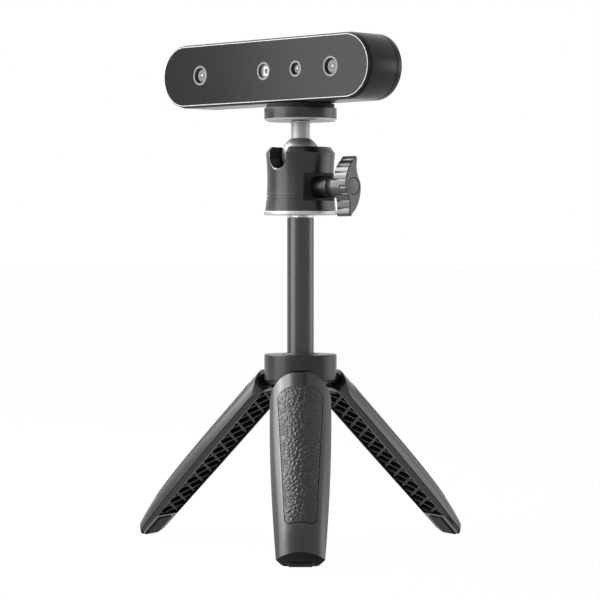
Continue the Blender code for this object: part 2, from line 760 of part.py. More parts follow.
def at_screw(piece, azimuth, circle):
    place = (circle * math.cos(azimuth), circle * math.sin(azimuth), 0)
    return move(piece, Matrix.Translation(place))


def build_hub(root):
    body_bottom = HUB_BOTTOM + RETAINER_THICKNESS + GAP
    bush_bottom = HUB_TOP - BUSH_DEPTH
    stop_top = HUB_BOTTOM + STOP_ABOVE_HUB_BOTTOM + STOP_THICKNESS + GAP
    centre = (HUB_RADIUS - HUB_TOP_FILLET, HUB_TOP - HUB_TOP_FILLET)
    fillet = arc(centre, HUB_TOP_FILLET, 0, math.pi / 2, 2)
    profile = [(STOP_RADIUS + GAP, body_bottom), (HUB_RADIUS, body_bottom)] + fillet
    profile += [(BUSH_RADIUS + GAP, HUB_TOP), (BUSH_RADIUS + GAP, bush_bottom)]
    profile += [(COLUMN_RADIUS + GAP, bush_bottom), (COLUMN_RADIUS + GAP, stop_top)]
    profile += [(STOP_RADIUS + GAP, stop_top)]
    hub = revolve("hub", profile)
    for azimuth in LEG_AZIMUTHS.values():
        cut(hub, notch(azimuth), pin_slot(azimuth))
    for azimuth in screw_azimuths():
        depth = HUB_BOTTOM + RETAINER_SCREW_LENGTH + GAP
        hole = cylinder("hole", RETAINER_SCREW_RADIUS + GAP, HUB_BOTTOM - OVERRUN, depth, SMALL)
        cut(hub, at_screw(hole, azimuth, RETAINER_SCREW_CIRCLE))
    settle(hub, root, BLACK, 0.36)

    plate_top = HUB_BOTTOM + RETAINER_THICKNESS
    profile = [(RETAINER_HOLE, HUB_BOTTOM), (HUB_RADIUS - RETAINER_CHAMFER, HUB_BOTTOM)]
    profile += [(HUB_RADIUS, plate_top), (RETAINER_HOLE, plate_top)]
    retainer = revolve("hub_retainer", profile, MEDIUM + SMALL)
    for azimuth in LEG_AZIMUTHS.values():
        low = (PIN_AXIS_RADIUS - SADDLE_WIDTH / 2, -PIN_LENGTH / 2, plate_top - RETAINER_THICKNESS / 2)
        high = (PIN_AXIS_RADIUS + SADDLE_WIDTH / 2, PIN_LENGTH / 2, PIN_Z - PIN_RADIUS - GAP)
        join(retainer, move(box("saddle", low, high), around(azimuth)))
        cut(retainer, notch(azimuth))
    for azimuth in screw_azimuths():
        hole = cylinder("hole", RETAINER_SCREW_HEAD + GAP, HUB_BOTTOM - OVERRUN, HUB_TOP, SMALL)
        cut(retainer, at_screw(hole, azimuth, RETAINER_SCREW_CIRCLE))
    settle(retainer, root, BLACK, 0.5)

    head, shank = RETAINER_SCREW_HEAD, RETAINER_SCREW_RADIUS
    top = HUB_BOTTOM + RETAINER_SCREW_LENGTH
    profile = [(0, HUB_BOTTOM), (head, HUB_BOTTOM), (head, plate_top), (shank, plate_top)]
    profile += [(shank, top), (0, top)]
    for side, azimuth in LEG_AZIMUTHS.items():
        screw = revolve(f"retainer_screw_{side}", profile, SMALL)
        settle(at_screw(screw, azimuth + math.pi / 3, RETAINER_SCREW_CIRCLE), root, STEEL, 0.3, 1.0)
        pin = turned_across(f"hinge_pin_{side}", PIN_RADIUS, PIN_LENGTH / 2, SMALL)
        place = around(azimuth) @ Matrix.Translation((PIN_AXIS_RADIUS, 0, PIN_Z))
        settle(move(pin, place), root, STEEL, 0.3, 1.0)

    bush_low, bush_high = bush_bottom + GAP, HUB_TOP + BUSH_PROUD
    bush = tube("column_bush", BUSH_RADIUS, COLUMN_RADIUS + GAP, bush_low, bush_high, MEDIUM)
    settle(bush, root, DARK, 0.45)


# Column


def build_column(slide):
    stop_bottom = HUB_BOTTOM + STOP_ABOVE_HUB_BOTTOM
    stop_top = stop_bottom + STOP_THICKNESS
    inner = COLUMN_RADIUS - COLUMN_WALL
    tube_bottom = stop_top + GAP
    tube_top = HEAD_BOTTOM - PLUG_FLANGE - 2 * GAP
    column = tube("column_tube", COLUMN_RADIUS, inner, tube_bottom, tube_top, MEDIUM + SMALL)
    settle(column, slide, BLACK, 0.3)

    plug = inner - GAP
    profile = [(0, stop_bottom), (STOP_RADIUS, stop_bottom), (STOP_RADIUS, stop_top), (plug, stop_top)]
    profile += [(plug, stop_top + PLUG_LENGTH), (0, stop_top + PLUG_LENGTH)]
    settle(revolve("column_stop", profile, COARSE), slide, DARK, 0.5)

    flange_bottom = tube_top + GAP
    flange_top = flange_bottom + PLUG_FLANGE
    stud_top = flange_top + PAN_STUD_LENGTH
    profile = [(0, flange_bottom - PLUG_LENGTH), (plug, flange_bottom - PLUG_LENGTH), (plug, flange_bottom)]
    profile += [(COLUMN_RADIUS, flange_bottom), (COLUMN_RADIUS, flange_top), (PAN_STUD_RADIUS, flange_top)]
    profile += [(PAN_STUD_RADIUS, stud_top), (0, stud_top)]
    settle(revolve("column_plug", profile, COARSE), slide, STEEL, 0.35, 1.0)

    hole = PAN_STUD_RADIUS + GAP
    top = HEAD_BOTTOM + BASE_RING_HEIGHT
    settle(tube("base_ring", BASE_RING_RADIUS, hole, HEAD_BOTTOM, top), slide, ALUMINIUM, 0.22, 1.0)

    nut_bottom = HOUSING_BOTTOM + INNER_BASE_THICKNESS + GAP
    nut_top = nut_bottom + NUT_HEIGHT
    nut = cylinder("pan_nut", NUT_RADIUS, nut_bottom, nut_top, HEXAGON)
    cut(nut, cylinder("thread", hole, nut_bottom - OVERRUN, nut_top + OVERRUN, COARSE))
    settle(nut, slide, STEEL, 0.35, 1.0)


# Ball head


def housing_outline():
    """The housing's outer profile, drawn in at the waist."""
    points = []
    steps = 4
    for index in range(steps + 1):
        share = index / steps
        height = HEAD_SHOULDER_HEIGHT * share
        if height < HEAD_WAIST_HEIGHT:
            reach = (HEAD_WAIST_HEIGHT - height) / HEAD_WAIST_HEIGHT
            radius = HEAD_WAIST_RADIUS + (HEAD_BASE_RADIUS - HEAD_WAIST_RADIUS) * reach ** 2
        else:
            reach = (height - HEAD_WAIST_HEIGHT) / (HEAD_SHOULDER_HEIGHT - HEAD_WAIST_HEIGHT)
            radius = HEAD_WAIST_RADIUS + (HEAD_SHOULDER_RADIUS - HEAD_WAIST_RADIUS) * reach ** 2
        points.append((radius, HOUSING_BOTTOM + height))
    points.append((HEAD_RIM_RADIUS, HEAD_TOP))
    return points


def slot_outline(half_width, reach):
    """A U-shaped outline across the slot, with its round end down."""
    bottom = HEAD_TOP - SLOT_DEPTH + SLOT_WIDTH / 2
    outline = arc((0, bottom), half_width, -math.pi, 0, SLOT_STEPS)
    return outline + [(half_width, HEAD_TOP + reach), (-half_width, HEAD_TOP + reach)]


def slot_cutter():
    """The stem slot, widened by a bevel where it leaves the wall."""
    half = SLOT_WIDTH / 2
    outer = HEAD_SHOULDER_RADIUS
    wide = half + SLOT_BEVEL + OVERRUN
    places = ((0.0, half), (outer - SLOT_BEVEL - OVERRUN / 2, half), (outer + OVERRUN, wide))
    rings = [[(x, y, z) for y, z in slot_outline(width, OVERRUN)] for x, width in places]
    return loft("slot", rings)


def toward_knob(piece):
    """Turns a piece made along Z to lie on the knob's axis."""
    lay = around(HEAD_AZIMUTH + KNOB_TURN) @ Matrix.Rotation(math.pi / 2, 4, "Y")
    return move(piece, Matrix.Translation((0, 0, KNOB_Z)) @ lay)


def head_housing():
    """The socket body: waisted wall, ball bore, stem slot, knob flat and boss."""
    rim = math.acos((HEAD_TOP - BALL_Z) / BORE_RADIUS)
    mouth = arc((0, BALL_Z), BORE_RADIUS, math.pi / 2 - rim, 0, 2)
    profile = housing_outline() + mouth + [(BORE_RADIUS, HOUSING_BOTTOM)]
    body = revolve("head_housing", profile)
    cut(body, move(slot_cutter(), around(HEAD_AZIMUTH)))
    outline = rounded_rectangle(KNOB_FLAT_HEIGHT, KNOB_FLAT_WIDTH, KNOB_FLAT_CORNER, 3)
    flat = prism("flat", outline, KNOB_FLAT_RADIUS, HEAD_BASE_RADIUS + OVERRUN)
    cut(body, toward_knob(flat))
    boss = cylinder("boss", KNOB_BOSS_RADIUS, KNOB_FLAT_RADIUS - WASHER_THICKNESS, KNOB_BOSS_END, MEDIUM)
    join(body, toward_knob(boss))
    hole = cylinder("hole", CLAMP_SCREW_RADIUS + GAP, BORE_RADIUS / 2, KNOB_BOSS_END + OVERRUN, COARSE)
    cut(body, toward_knob(hole))
    return body


def build_head(pan):
    settle(head_housing(), pan, BLACK, 0.32)

    hole = PAN_STUD_RADIUS + GAP
    top = HOUSING_BOTTOM + INNER_BASE_THICKNESS
    inner_base = tube("head_base", BORE_RADIUS - GAP, hole, HOUSING_BOTTOM, top, COARSE)
    settle(inner_base, pan, STEEL, 0.4, 1.0)

    rim_z = BALL_Z - math.sqrt((BORE_RADIUS + GAP) ** 2 - CUP_RIM_RADIUS ** 2)
    floor_z = BALL_Z - BORE_RADIUS - CUP_FLOOR
    sweep = math.asin(CUP_RIM_RADIUS / BORE_RADIUS)
    bowl = arc((0, BALL_Z), BORE_RADIUS, -math.pi / 2 + sweep, -math.pi / 2, 3)
    bowl[-1] = (0, bowl[-1][1])
    outer = BORE_RADIUS - GAP
    profile = [(0, floor_z - CUP_BOSS_HEIGHT), (CUP_BOSS_TIP, floor_z - CUP_BOSS_HEIGHT)]
    profile += [(CUP_BOSS_RADIUS, floor_z), (outer, floor_z), (outer, rim_z)] + bowl
    settle(revolve("friction_cup", profile, COARSE), pan, (0.8, 0.8, 0.76), 0.5)


def build_ball(tilt):
    """Ball and stem turned in one piece, with a socket for the mount screw."""
    neck = math.asin(STEM_RADIUS / BALL_RADIUS)
    ball = arc((0, BALL_Z), BALL_RADIUS, -math.pi / 2, math.pi / 2 - neck, 6)
    ball[0] = (0, ball[0][1])
    top = PLATE_BOTTOM - GAP
    collar = top - COLLAR_HEIGHT
    socket = MOUNT_STUD_RADIUS + GAP
    floor = top - MOUNT_STUD_DOWN - GAP
    profile = ball + [(STEM_RADIUS, collar), (COLLAR_RADIUS, collar), (COLLAR_RADIUS, top)]
    profile += [(socket, top), (socket, floor), (0, floor)]
    piece = revolve("ball_stem", profile, MEDIUM)
    move(piece, Matrix.Translation((0, 0, -BALL_Z)))
    settle(piece, tilt, STEEL, 0.28, 1.0)


def build_plate(spin):
    """Top plate, rubber pad and the stud that holds the scanner; heights are from the ball."""
    bottom, top = PLATE_ABOVE_BALL, PLATE_TOP - BALL_Z
    edge = PLATE_CHAMFER
    pad_bottom = top + PAD_PROUD - PAD_THICKNESS
    seat = pad_bottom - GAP
    hole = MOUNT_STUD_RADIUS + GAP
    profile = [(PLATE_RADIUS - edge, bottom), (PLATE_RADIUS, bottom + edge), (PLATE_RADIUS, top - edge)]
    profile += [(PAD_RADIUS + GAP, top), (PAD_RADIUS + GAP, seat), (hole, seat), (hole, bottom)]
    settle(revolve("top_plate", profile), spin, BLACK, 0.3)

    pad_top = top + PAD_PROUD
    profile = [(PAD_RADIUS, pad_bottom), (PAD_RADIUS, pad_top), (hole, pad_top), (hole, pad_bottom)]
    settle(revolve("rubber_pad", profile), spin, RUBBER, 0.8)

    low, high = bottom - MOUNT_STUD_DOWN, pad_top + MOUNT_STUD_UP
    stud = cylinder("mount_screw", MOUNT_STUD_RADIUS, low, high, COARSE)
    settle(stud, spin, STEEL, 0.3, 1.0)


# Clamp: pieces are made along Z, as distances from the column axis


def wing_outline():
    """The S-shaped outline of both wings, as a smooth curve through its half and the half turned round."""
    half = [(x * WING_WIDTH / 2, y * WING_LENGTH / 2) for x, y in WING_shares]
    points = half + [(-x, -y) for x, y in half]
    count = len(points)
    outline = []
    for index in range(count):
        before, here, after, beyond = (Vector(points[(index + step) % count]) for step in (-1, 0, 1, 2))
        for step in range(WING_STEPS):
            t = step / WING_STEPS
            value = 2 * here + (after - before) * t
            value += (2 * before - 5 * here + 4 * after - beyond) * t ** 2
            value += (3 * here - before - 3 * after + beyond) * t ** 3
            outline.append(value / 2)
    return outline


def wing_ring(outline, inset, depth):
    """The outline drawn in toward its own line by the inset, at one depth."""
    ring = []
    count = len(outline)
    for index, point in enumerate(outline):
        along = (outline[(index + 1) % count] - outline[index - 1]).normalized()
        rib = WING_RIB_DEPTH * (index % 2)
        inward = Vector((-along.y, along.x)) * (inset + rib)
        ring.append((-(point.y + inward.y), point.x + inward.x, depth))
    return ring


def build_knob(turn):
    """The wing knob on its screw, with the cap, washer and seal that turn with it."""
    outline = wing_outline()
    depths = ((WING_BACK, 0.0), (KNOB_FACE - WING_BEVEL, 0.0), (KNOB_FACE, WING_BEVEL))
    knob = loft("wing_knob", [wing_ring(outline, inset, depth) for depth, inset in depths])
    hub = cylinder("hub_boss", KNOB_HUB_RADIUS, KNOB_HUB_START, KNOB_FACE - WING_THICKNESS / 2, MEDIUM)
    join(knob, hub)
    cap_floor = KNOB_FACE - CAP_THICKNESS - 2 * GAP
    head_bottom = cap_floor - CLAMP_HEAD_LENGTH - GAP
    cut(knob, cylinder("cap_seat", CAP_RADIUS + GAP, cap_floor, KNOB_FACE + OVERRUN, COARSE))
    cut(knob, cylinder("head_seat", CLAMP_SCREW_HEAD + GAP, head_bottom - GAP, KNOB_FACE, SMALL))
    cut(knob, cylinder("bore", CLAMP_SCREW_RADIUS + GAP, BORE_RADIUS, KNOB_FACE, SMALL))
    settle(knob, turn, DARK, 0.42)

    cap_back = cap_floor + GAP
    settle(cylinder("knob_cap", CAP_RADIUS, cap_back, KNOB_FACE - GAP, COARSE), turn, DARK, 0.5)

    bore = CLAMP_SCREW_RADIUS + GAP
    seal_start = KNOB_BOSS_END + GAP
    washer_start = seal_start + SEAL_THICKNESS + GAP
    seal = tube("knob_seal", SEAL_RADIUS, bore, seal_start, seal_start + SEAL_THICKNESS, COARSE)
    settle(seal, turn, RUBBER, 0.7)
    washer = tube("knob_washer", WASHER_RADIUS, bore, washer_start, washer_start + WASHER_THICKNESS, COARSE)
    settle(washer, turn, ALUMINIUM, 0.25, 1.0)

    tip_end = clamp_tip_start() + CLAMP_TIP_LENGTH
    head_top = head_bottom + CLAMP_HEAD_LENGTH
    profile = [(0, tip_end + GAP), (CLAMP_SCREW_RADIUS, tip_end + GAP), (CLAMP_SCREW_RADIUS, head_bottom)]
    profile += [(CLAMP_SCREW_HEAD, head_bottom), (CLAMP_SCREW_HEAD, head_top), (0, head_top)]
    settle(revolve("clamp_screw", profile, COARSE), turn, STEEL, 0.3, 1.0)


def clamp_tip_start():
    """Where the tip meets the cup's cone, at the knob's height."""
    floor_z = BALL_Z - BORE_RADIUS - CUP_FLOOR
    share = (KNOB_Z - (floor_z - CUP_BOSS_HEIGHT)) / CUP_BOSS_HEIGHT
    return CUP_BOSS_TIP + (CUP_BOSS_RADIUS - CUP_BOSS_TIP) * share + 2 * GAP


def build_clamp_tip(travel):
    start = clamp_tip_start()
    nose = start + CLAMP_TIP_NOSE
    end = start + CLAMP_TIP_LENGTH
    profile = [(0, start), (CLAMP_TIP_RADIUS / 3, start), (CLAMP_TIP_RADIUS, nose)]
    profile += [(CLAMP_TIP_RADIUS, end), (0, end)]
    settle(revolve("clamp_tip", profile, COARSE), travel, BRASS, 0.35, 1.0)


# Scanner: X runs along the body, Y back from the bezel's front and Z up from the body's middle


def plate_at(name, outline, front, back):
    """An outline in X and Z, extruded back along Y."""
    return loft(name, [[(x, y, z) for x, z in outline] for y in (front, back)])


def body_outline(inset=0.0):
    return stadium(BODY_LENGTH, BODY_HEIGHT, inset)


def on_axis(piece, x, z=0.0):
    """Turns a piece made along Z to point back along Y at one place on the front."""
    return move(piece, Matrix.Translation((x, 0, z)) @ Matrix.Rotation(-math.pi / 2, 4, "X"))


def block(name, centre, size):
    low = [c - s / 2 for c, s in zip(centre, size)]
    high = [c + s / 2 for c, s in zip(centre, size)]
    return box(name, low, high)


def scanner_housing():
    """The sleeve, with its front flange, screw posts and the post of the mount insert."""
    rings = []
    for y, inset in ((BODY_FRONT, BODY_EDGE), (BODY_FRONT + BODY_EDGE, 0.0), (BODY_BACK, 0.0)):
        rings.append([(x, y, z) for x, z in body_outline(inset)])
    sleeve = loft("scanner_housing", rings)
    inner_front = BODY_FRONT + FLANGE_THICKNESS
    cut(sleeve, plate_at("inner", body_outline(BODY_WALL), inner_front, BODY_BACK + OVERRUN))
    cut(sleeve, plate_at("opening", body_outline(FLANGE_WIDTH), 0, BODY_BACK + OVERRUN))
    post_front = inner_front - FLANGE_THICKNESS / 2
    post_back = BODY_BACK - COVER_PLUG_LENGTH
    for side in (-1, 1):
        outline = [(side * x, z) for x, z in post_outline()]
        post = plate_at("post", outline, post_front, post_back)
        start = BODY_DEPTH - COVER_SCREW_LENGTH - GAP
        hole = cylinder("hole", COVER_SCREW_RADIUS + GAP, start, BODY_DEPTH, SMALL)
        cut(post, on_axis(hole, side * COVER_SCREW_X))
        join(sleeve, post)
    for x, z in bench_screw_places():
        lug = cylinder("lug", BENCH_LUG_RADIUS, BODY_FRONT + GAP, inner_front - GAP, COARSE)
        join(sleeve, on_axis(lug, x, z))
        hole = cylinder("hole", BENCH_SCREW_RADIUS + GAP, BODY_FRONT - OVERRUN, BENCH_BACK, SMALL)
        cut(sleeve, on_axis(hole, x, z))
    middle = BODY_DEPTH / 2
    low = -BODY_HEIGHT / 2
    wall = low + BODY_WALL / 2
    post_top = low + INSERT_LENGTH + GAP
    place = Matrix.Translation((BODY_OFFSET, middle, 0))
    join(sleeve, move(cylinder("post", INSERT_POST_RADIUS, wall, post_top, COARSE), place))
    hole = cylinder("hole", INSERT_RADIUS + GAP, low - OVERRUN, post_top + OVERRUN, COARSE)
    cut(sleeve, move(hole, place))
    return sleeve


def post_outline():
    """A round screw post and the web that ties it to the sleeve's end wall."""
    half_web = SCREW_POST_WEB / 2
    neck = math.asin(half_web / SCREW_POST_RADIUS)
    outline = arc((COVER_SCREW_X, 0), SCREW_POST_RADIUS, neck, 2 * math.pi - neck, COARSE)
    wall_x = (BODY_LENGTH - BODY_WALL) / 2
    return outline + [(wall_x, -half_web), (wall_x, half_web)]


def bench_screw_places():
    """One screw at the top left and one at the bottom right."""
    return ((-BENCH_SCREW_X, BENCH_SCREW_Z), (BENCH_SCREW_X, -BENCH_SCREW_Z))


def rear_cover():
    """The rear plate with its rounded edge, the plug that centres it, port opening and screw seats."""
    rings = []
    for y, inset in ((COVER_FRONT, 0.0), (BODY_DEPTH - COVER_FILLET, 0.0)):
        rings.append([(x, y, z) for x, z in body_outline(inset)])
    for index in range(1, 3):
        angle = index * math.pi / 4
        y = BODY_DEPTH - COVER_FILLET + COVER_FILLET * math.sin(angle)
        rings.append([(x, y, z) for x, z in body_outline(COVER_FILLET * (1 - math.cos(angle)))])
    cover = loft("rear_cover", rings)
    plug_front = COVER_FRONT - COVER_PLUG_LENGTH
    join(cover, plate_at("plug", body_outline(COVER_PLUG_INSET), plug_front, COVER_FRONT + BODY_WALL))
    seat = BODY_DEPTH - COVER_SCREW_HEAD_DEPTH - GAP
    for x in (-COVER_SCREW_X, COVER_SCREW_X):
        cut(cover, on_axis(cylinder("seat", COVER_SCREW_HEAD + GAP, seat, BODY_DEPTH + OVERRUN, SMALL), x))
        cut(cover, on_axis(cylinder("hole", COVER_SCREW_RADIUS + GAP, 0, BODY_DEPTH, SMALL), x))
    port = stadium(USB_WIDTH + 2 * GAP, USB_HEIGHT + 2 * GAP, 0.0, 4)
    port = [(x + USB_X, z + MAIN_BOARD_RISE) for x, z in port]
    cut(cover, plate_at("port", port, MAIN_BOARD_FRONT, BODY_DEPTH + OVERRUN))
    return cover


def front_bezel():
    """The bright ring round the window, chamfered at its outer front edge."""
    inner_inset = BEZEL_INSET + BEZEL_WIDTH
    rings = []
    places = ((BEZEL_DEPTH, BEZEL_INSET), (BEZEL_CHAMFER, BEZEL_INSET), (0.0, BEZEL_INSET + BEZEL_CHAMFER))
    for y, inset in places:
        rings.append([(x, y, z) for x, z in body_outline(inset)])
    ring = loft("front_bezel", rings)
    return cut(ring, plate_at("opening", body_outline(inner_inset), -OVERRUN, BODY_BACK))


def apertures():
    """Place, ring radius and barrel names of the four windows, from left to right."""
    half = CAMERA_SPACING / 2
    return (
        (-half, IR_RING_RADIUS), (0.0, PROJECTOR_RING_RADIUS), (COLOUR_CAMERA_X, COLOUR_RING_RADIUS),
        (half, IR_RING_RADIUS),
    )


def front_window():
    inset = BEZEL_INSET + BEZEL_WIDTH + GAP
    window = plate_at("front_window", body_outline(inset), WINDOW_RECESS, BEZEL_DEPTH)
    for x, radius in apertures():
        cut(window, on_axis(cylinder("hole", radius + GAP, -OVERRUN, BODY_BACK, COARSE), x))
    return window


def barrel(name, x, radius, lens_radius):
    """A camera module: bright rim, face with a lens seat, and a wider rear half behind the bench."""
    inner = radius - RING_WIDTH
    flange = radius + BARREL_FLANGE_WIDTH
    flange_front = BENCH_BACK + GAP
    seat = BARREL_FRONT + BARREL_LENS_SEAT
    profile = [(0, seat), (lens_radius + GAP, seat), (lens_radius + GAP, BARREL_FRONT)]
    profile += [(inner, BARREL_FRONT), (inner, RING_FRONT), (radius, RING_FRONT)]
    profile += [(radius, flange_front), (flange, flange_front)]
    profile += [(flange, BARREL_REAR), (0, BARREL_REAR)]
    return on_axis(revolve(name, profile, COARSE), x)


def lens(name, x, radius):
    """A low domed lens in its seat."""
    back = BARREL_FRONT + BARREL_LENS_SEAT - GAP
    sphere = (radius ** 2 + LENS_DOME ** 2) / (2 * LENS_DOME)
    front = BARREL_FRONT - LENS_DOME
    sweep = math.asin(radius / sphere)
    dome = arc((0, front + sphere), sphere, -math.pi / 2 + sweep, -math.pi / 2, 2)
    dome[-1] = (0, dome[-1][1])
    return on_axis(revolve(name, [(0, back), (radius, back)] + dome, COARSE), x)


def optical_bench():
    """The metal plate that keeps the cameras in line."""
    outline = rounded_rectangle(BENCH_LENGTH, BENCH_HEIGHT, BENCH_CORNER)
    bench = plate_at("optical_bench", outline, BENCH_FRONT, BENCH_BACK)
    for x, radius in apertures():
        cut(bench, on_axis(cylinder("hole", radius + GAP, 0, BODY_BACK, COARSE), x))
    for x, z in bench_screw_places():
        cut(bench, on_axis(cylinder("hole", BENCH_SCREW_RADIUS + GAP, 0, BODY_BACK, SMALL), x, z))
    return bench


def usb_port():
    """The cable inlet: a slot-shaped metal shell with its contact tongue, on the main board."""
    front = MAIN_BOARD_FRONT + BOARD_THICKNESS + GAP
    back = BODY_DEPTH - USB_RECESS
    outer = [(x + USB_X, z + MAIN_BOARD_RISE) for x, z in stadium(USB_WIDTH, USB_HEIGHT, 0.0, 4)]
    inner = [(x + USB_X, z + MAIN_BOARD_RISE) for x, z in stadium(USB_WIDTH, USB_HEIGHT, USB_WALL, 4)]
    port = plate_at("usb_port", outer, front, back)
    cut(port, plate_at("socket", inner, back - USB_SOCKET_DEPTH, back + OVERRUN))
    middle = (USB_X, back - USB_SOCKET_DEPTH / 2 - USB_WALL, MAIN_BOARD_RISE)
    tongue = block("tongue", middle, (USB_WIDTH - 4 * USB_WALL, USB_SOCKET_DEPTH, USB_TONGUE))
    return join(port, tongue)


def cover_screw(name, x):
    """A cover screw, head to the rear."""
    head = BODY_DEPTH - COVER_SCREW_HEAD_DEPTH
    tip = BODY_DEPTH - COVER_SCREW_LENGTH
    top = BODY_DEPTH - GAP
    profile = [(0, tip), (COVER_SCREW_RADIUS, tip), (COVER_SCREW_RADIUS, head), (COVER_SCREW_HEAD, head)]
    profile += [(COVER_SCREW_HEAD, top), (0, top)]
    return on_axis(revolve(name, profile, SMALL), x)


def bench_screw(name, x, z):
    """A small screw that holds the bench to the sleeve's front flange."""
    tip = BODY_FRONT + FLANGE_THICKNESS / 2
    head = BENCH_BACK + GAP
    top = head + BENCH_SCREW_HEAD_DEPTH
    profile = [(0, tip), (BENCH_SCREW_RADIUS, tip), (BENCH_SCREW_RADIUS, head), (BENCH_SCREW_HEAD, head)]
    profile += [(BENCH_SCREW_HEAD, top), (0, top)]
    return on_axis(revolve(name, profile, HEXAGON), x, z)


def build_scanner(body):
    half = CAMERA_SPACING / 2
    settle(scanner_housing(), body, BLACK, 0.3)
    settle(front_bezel(), body, (0.30, 0.30, 0.31), 0.25, 1.0)
    settle(front_window(), body, GLASS, 0.06)
    settle(rear_cover(), body, BLACK, 0.32)

    outer = body_outline(BODY_WALL + GAP)
    gasket_back = COVER_FRONT - GAP
    gasket = plate_at("rear_gasket", outer, gasket_back - GASKET_DEPTH, gasket_back)
    cut(gasket, plate_at("hole", body_outline(BODY_WALL + GAP + GASKET_WIDTH), 0, BODY_DEPTH))
    settle(gasket, body, RUBBER, 0.8)

    settle(optical_bench(), body, ALUMINIUM, 0.35, 1.0)
    for side, x in (("left", -half), ("right", half)):
        settle(barrel(f"ir_camera_{side}", x, IR_RING_RADIUS, IR_LENS_RADIUS), body, DARK, 0.4)
        settle(lens(f"ir_lens_{side}", x, IR_LENS_RADIUS), body, GLASS, 0.05)
    colour = barrel("colour_camera", COLOUR_CAMERA_X, COLOUR_RING_RADIUS, COLOUR_LENS_RADIUS)
    settle(colour, body, DARK, 0.4)
    settle(lens("colour_lens", COLOUR_CAMERA_X, COLOUR_LENS_RADIUS), body, GLASS, 0.05)

    side = PROJECTOR_WINDOW_SIDE
    seat_radius = side / math.sqrt(2)
    settle(barrel("pattern_projector", 0.0, PROJECTOR_RING_RADIUS, seat_radius), body, DARK, 0.4)
    pane_back = BARREL_FRONT + BARREL_LENS_SEAT - GAP
    pane_front = BARREL_FRONT - GAP
    centre = (0, (pane_front + pane_back) / 2, 0)
    pane = block("projector_window", centre, (side, pane_back - pane_front, side))
    settle(pane, body, (0.55, 0.58, 0.6), 0.1)

    board_back = MAIN_BOARD_FRONT + BOARD_THICKNESS
    centre = (0, MAIN_BOARD_FRONT + BOARD_THICKNESS / 2, MAIN_BOARD_RISE)
    board = block("main_board", centre, (MAIN_BOARD_LENGTH, BOARD_THICKNESS, MAIN_BOARD_HEIGHT))
    settle(board, body, BOARD, 0.5)
    centre = (0, board_back + GAP + THERMAL_PAD_THICKNESS / 2, MAIN_BOARD_RISE)
    pad = block("thermal_pad", centre, (THERMAL_PAD_SIDE, THERMAL_PAD_THICKNESS, THERMAL_PAD_SIDE))
    settle(pad, body, (0.35, 0.4, 0.5), 0.8)
    spreader_front = board_back + THERMAL_PAD_THICKNESS + 2 * GAP
    centre = (0, spreader_front + SPREADER_THICKNESS / 2, MAIN_BOARD_RISE)
    spreader = block("heat_spreader", centre, (SPREADER_LENGTH, SPREADER_THICKNESS, SPREADER_HEIGHT))
    settle(spreader, body, ALUMINIUM, 0.4, 1.0)
    settle(usb_port(), body, STEEL, 0.3, 1.0)

    for side, (x, z) in zip(("left", "right"), bench_screw_places()):
        settle(bench_screw(f"bench_screw_{side}", x, z), body, STEEL, 0.3, 1.0)
    for side, x in (("left", -COVER_SCREW_X), ("right", COVER_SCREW_X)):
        settle(cover_screw(f"cover_screw_{side}", x), body, DARK, 0.3, 1.0)

    low = -BODY_HEIGHT / 2
    flange_top = low - GAP
    hole = MOUNT_STUD_RADIUS + GAP
    profile = [(INSERT_FLANGE_RADIUS, flange_top - INSERT_FLANGE), (INSERT_FLANGE_RADIUS, flange_top)]
    profile += [(INSERT_RADIUS, flange_top), (INSERT_RADIUS, low + INSERT_LENGTH)]
    profile += [(hole, low + INSERT_LENGTH), (hole, flange_top - INSERT_FLANGE)]
    insert = revolve("mount_insert", profile, COARSE)
    move(insert, Matrix.Translation((BODY_OFFSET, BODY_DEPTH / 2, 0)))
    settle(insert, body, DARK, 0.4, 1.0)


def settle_on_floor(root):
    """Moves the root so that the origin is the middle of the footprint, at the lowest point."""
    bpy.context.view_layer.update()
    low = Vector((math.inf, math.inf, math.inf))
    high = -low
    for piece in bpy.data.objects:
        if piece.type != "MESH":
            continue
        for vertex in piece.data.vertices:
            point = piece.matrix_world @ vertex.co
            low = Vector(map(min, low, point))
            high = Vector(map(max, high, point))
    root.location = (-(low.x + high.x) / 2, -(low.y + high.y) / 2, -low.z)


def main():
    clear_scene()
    root = empty("tripod")
    build_legs(root)
    build_hub(root)
    slide = empty("column_slide", root)
    build_column(slide)
    pan = empty("head_pan", slide)
    build_head(pan)
    travel = empty("clamp_travel", pan, (0, 0, KNOB_Z), (0, math.pi / 2, HEAD_AZIMUTH + KNOB_TURN))
    build_clamp_tip(travel)
    turn = empty("knob_turn", travel)
    build_knob(turn)
    tilt = empty("ball_tilt", pan, (0, 0, BALL_Z))
    build_ball(tilt)
    spin = empty("scanner_spin", tilt)
    build_plate(spin)
    body_place = Matrix.Rotation(BODY_YAW, 4, "Z") @ Vector((-BODY_OFFSET, -BODY_DEPTH / 2, 0))
    body = empty("scanner", spin, (body_place.x, body_place.y, BODY_CENTRE_Z - BALL_Z), (0, 0, BODY_YAW))
    build_scanner(body)
    settle_on_floor(root)


main()
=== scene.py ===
"""The look of a structured-light scanner on a ball head and a folding mini tripod.

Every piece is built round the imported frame, in metres, and rides on the body that carries it.
The column's axis is vertical, and the front leg points at the camera.
"""

import json
import logging
import math
from collections.abc import Callable, Sequence
from dataclasses import dataclass
from enum import Enum

import bmesh
import bpy
from mathutils import Matrix, Vector

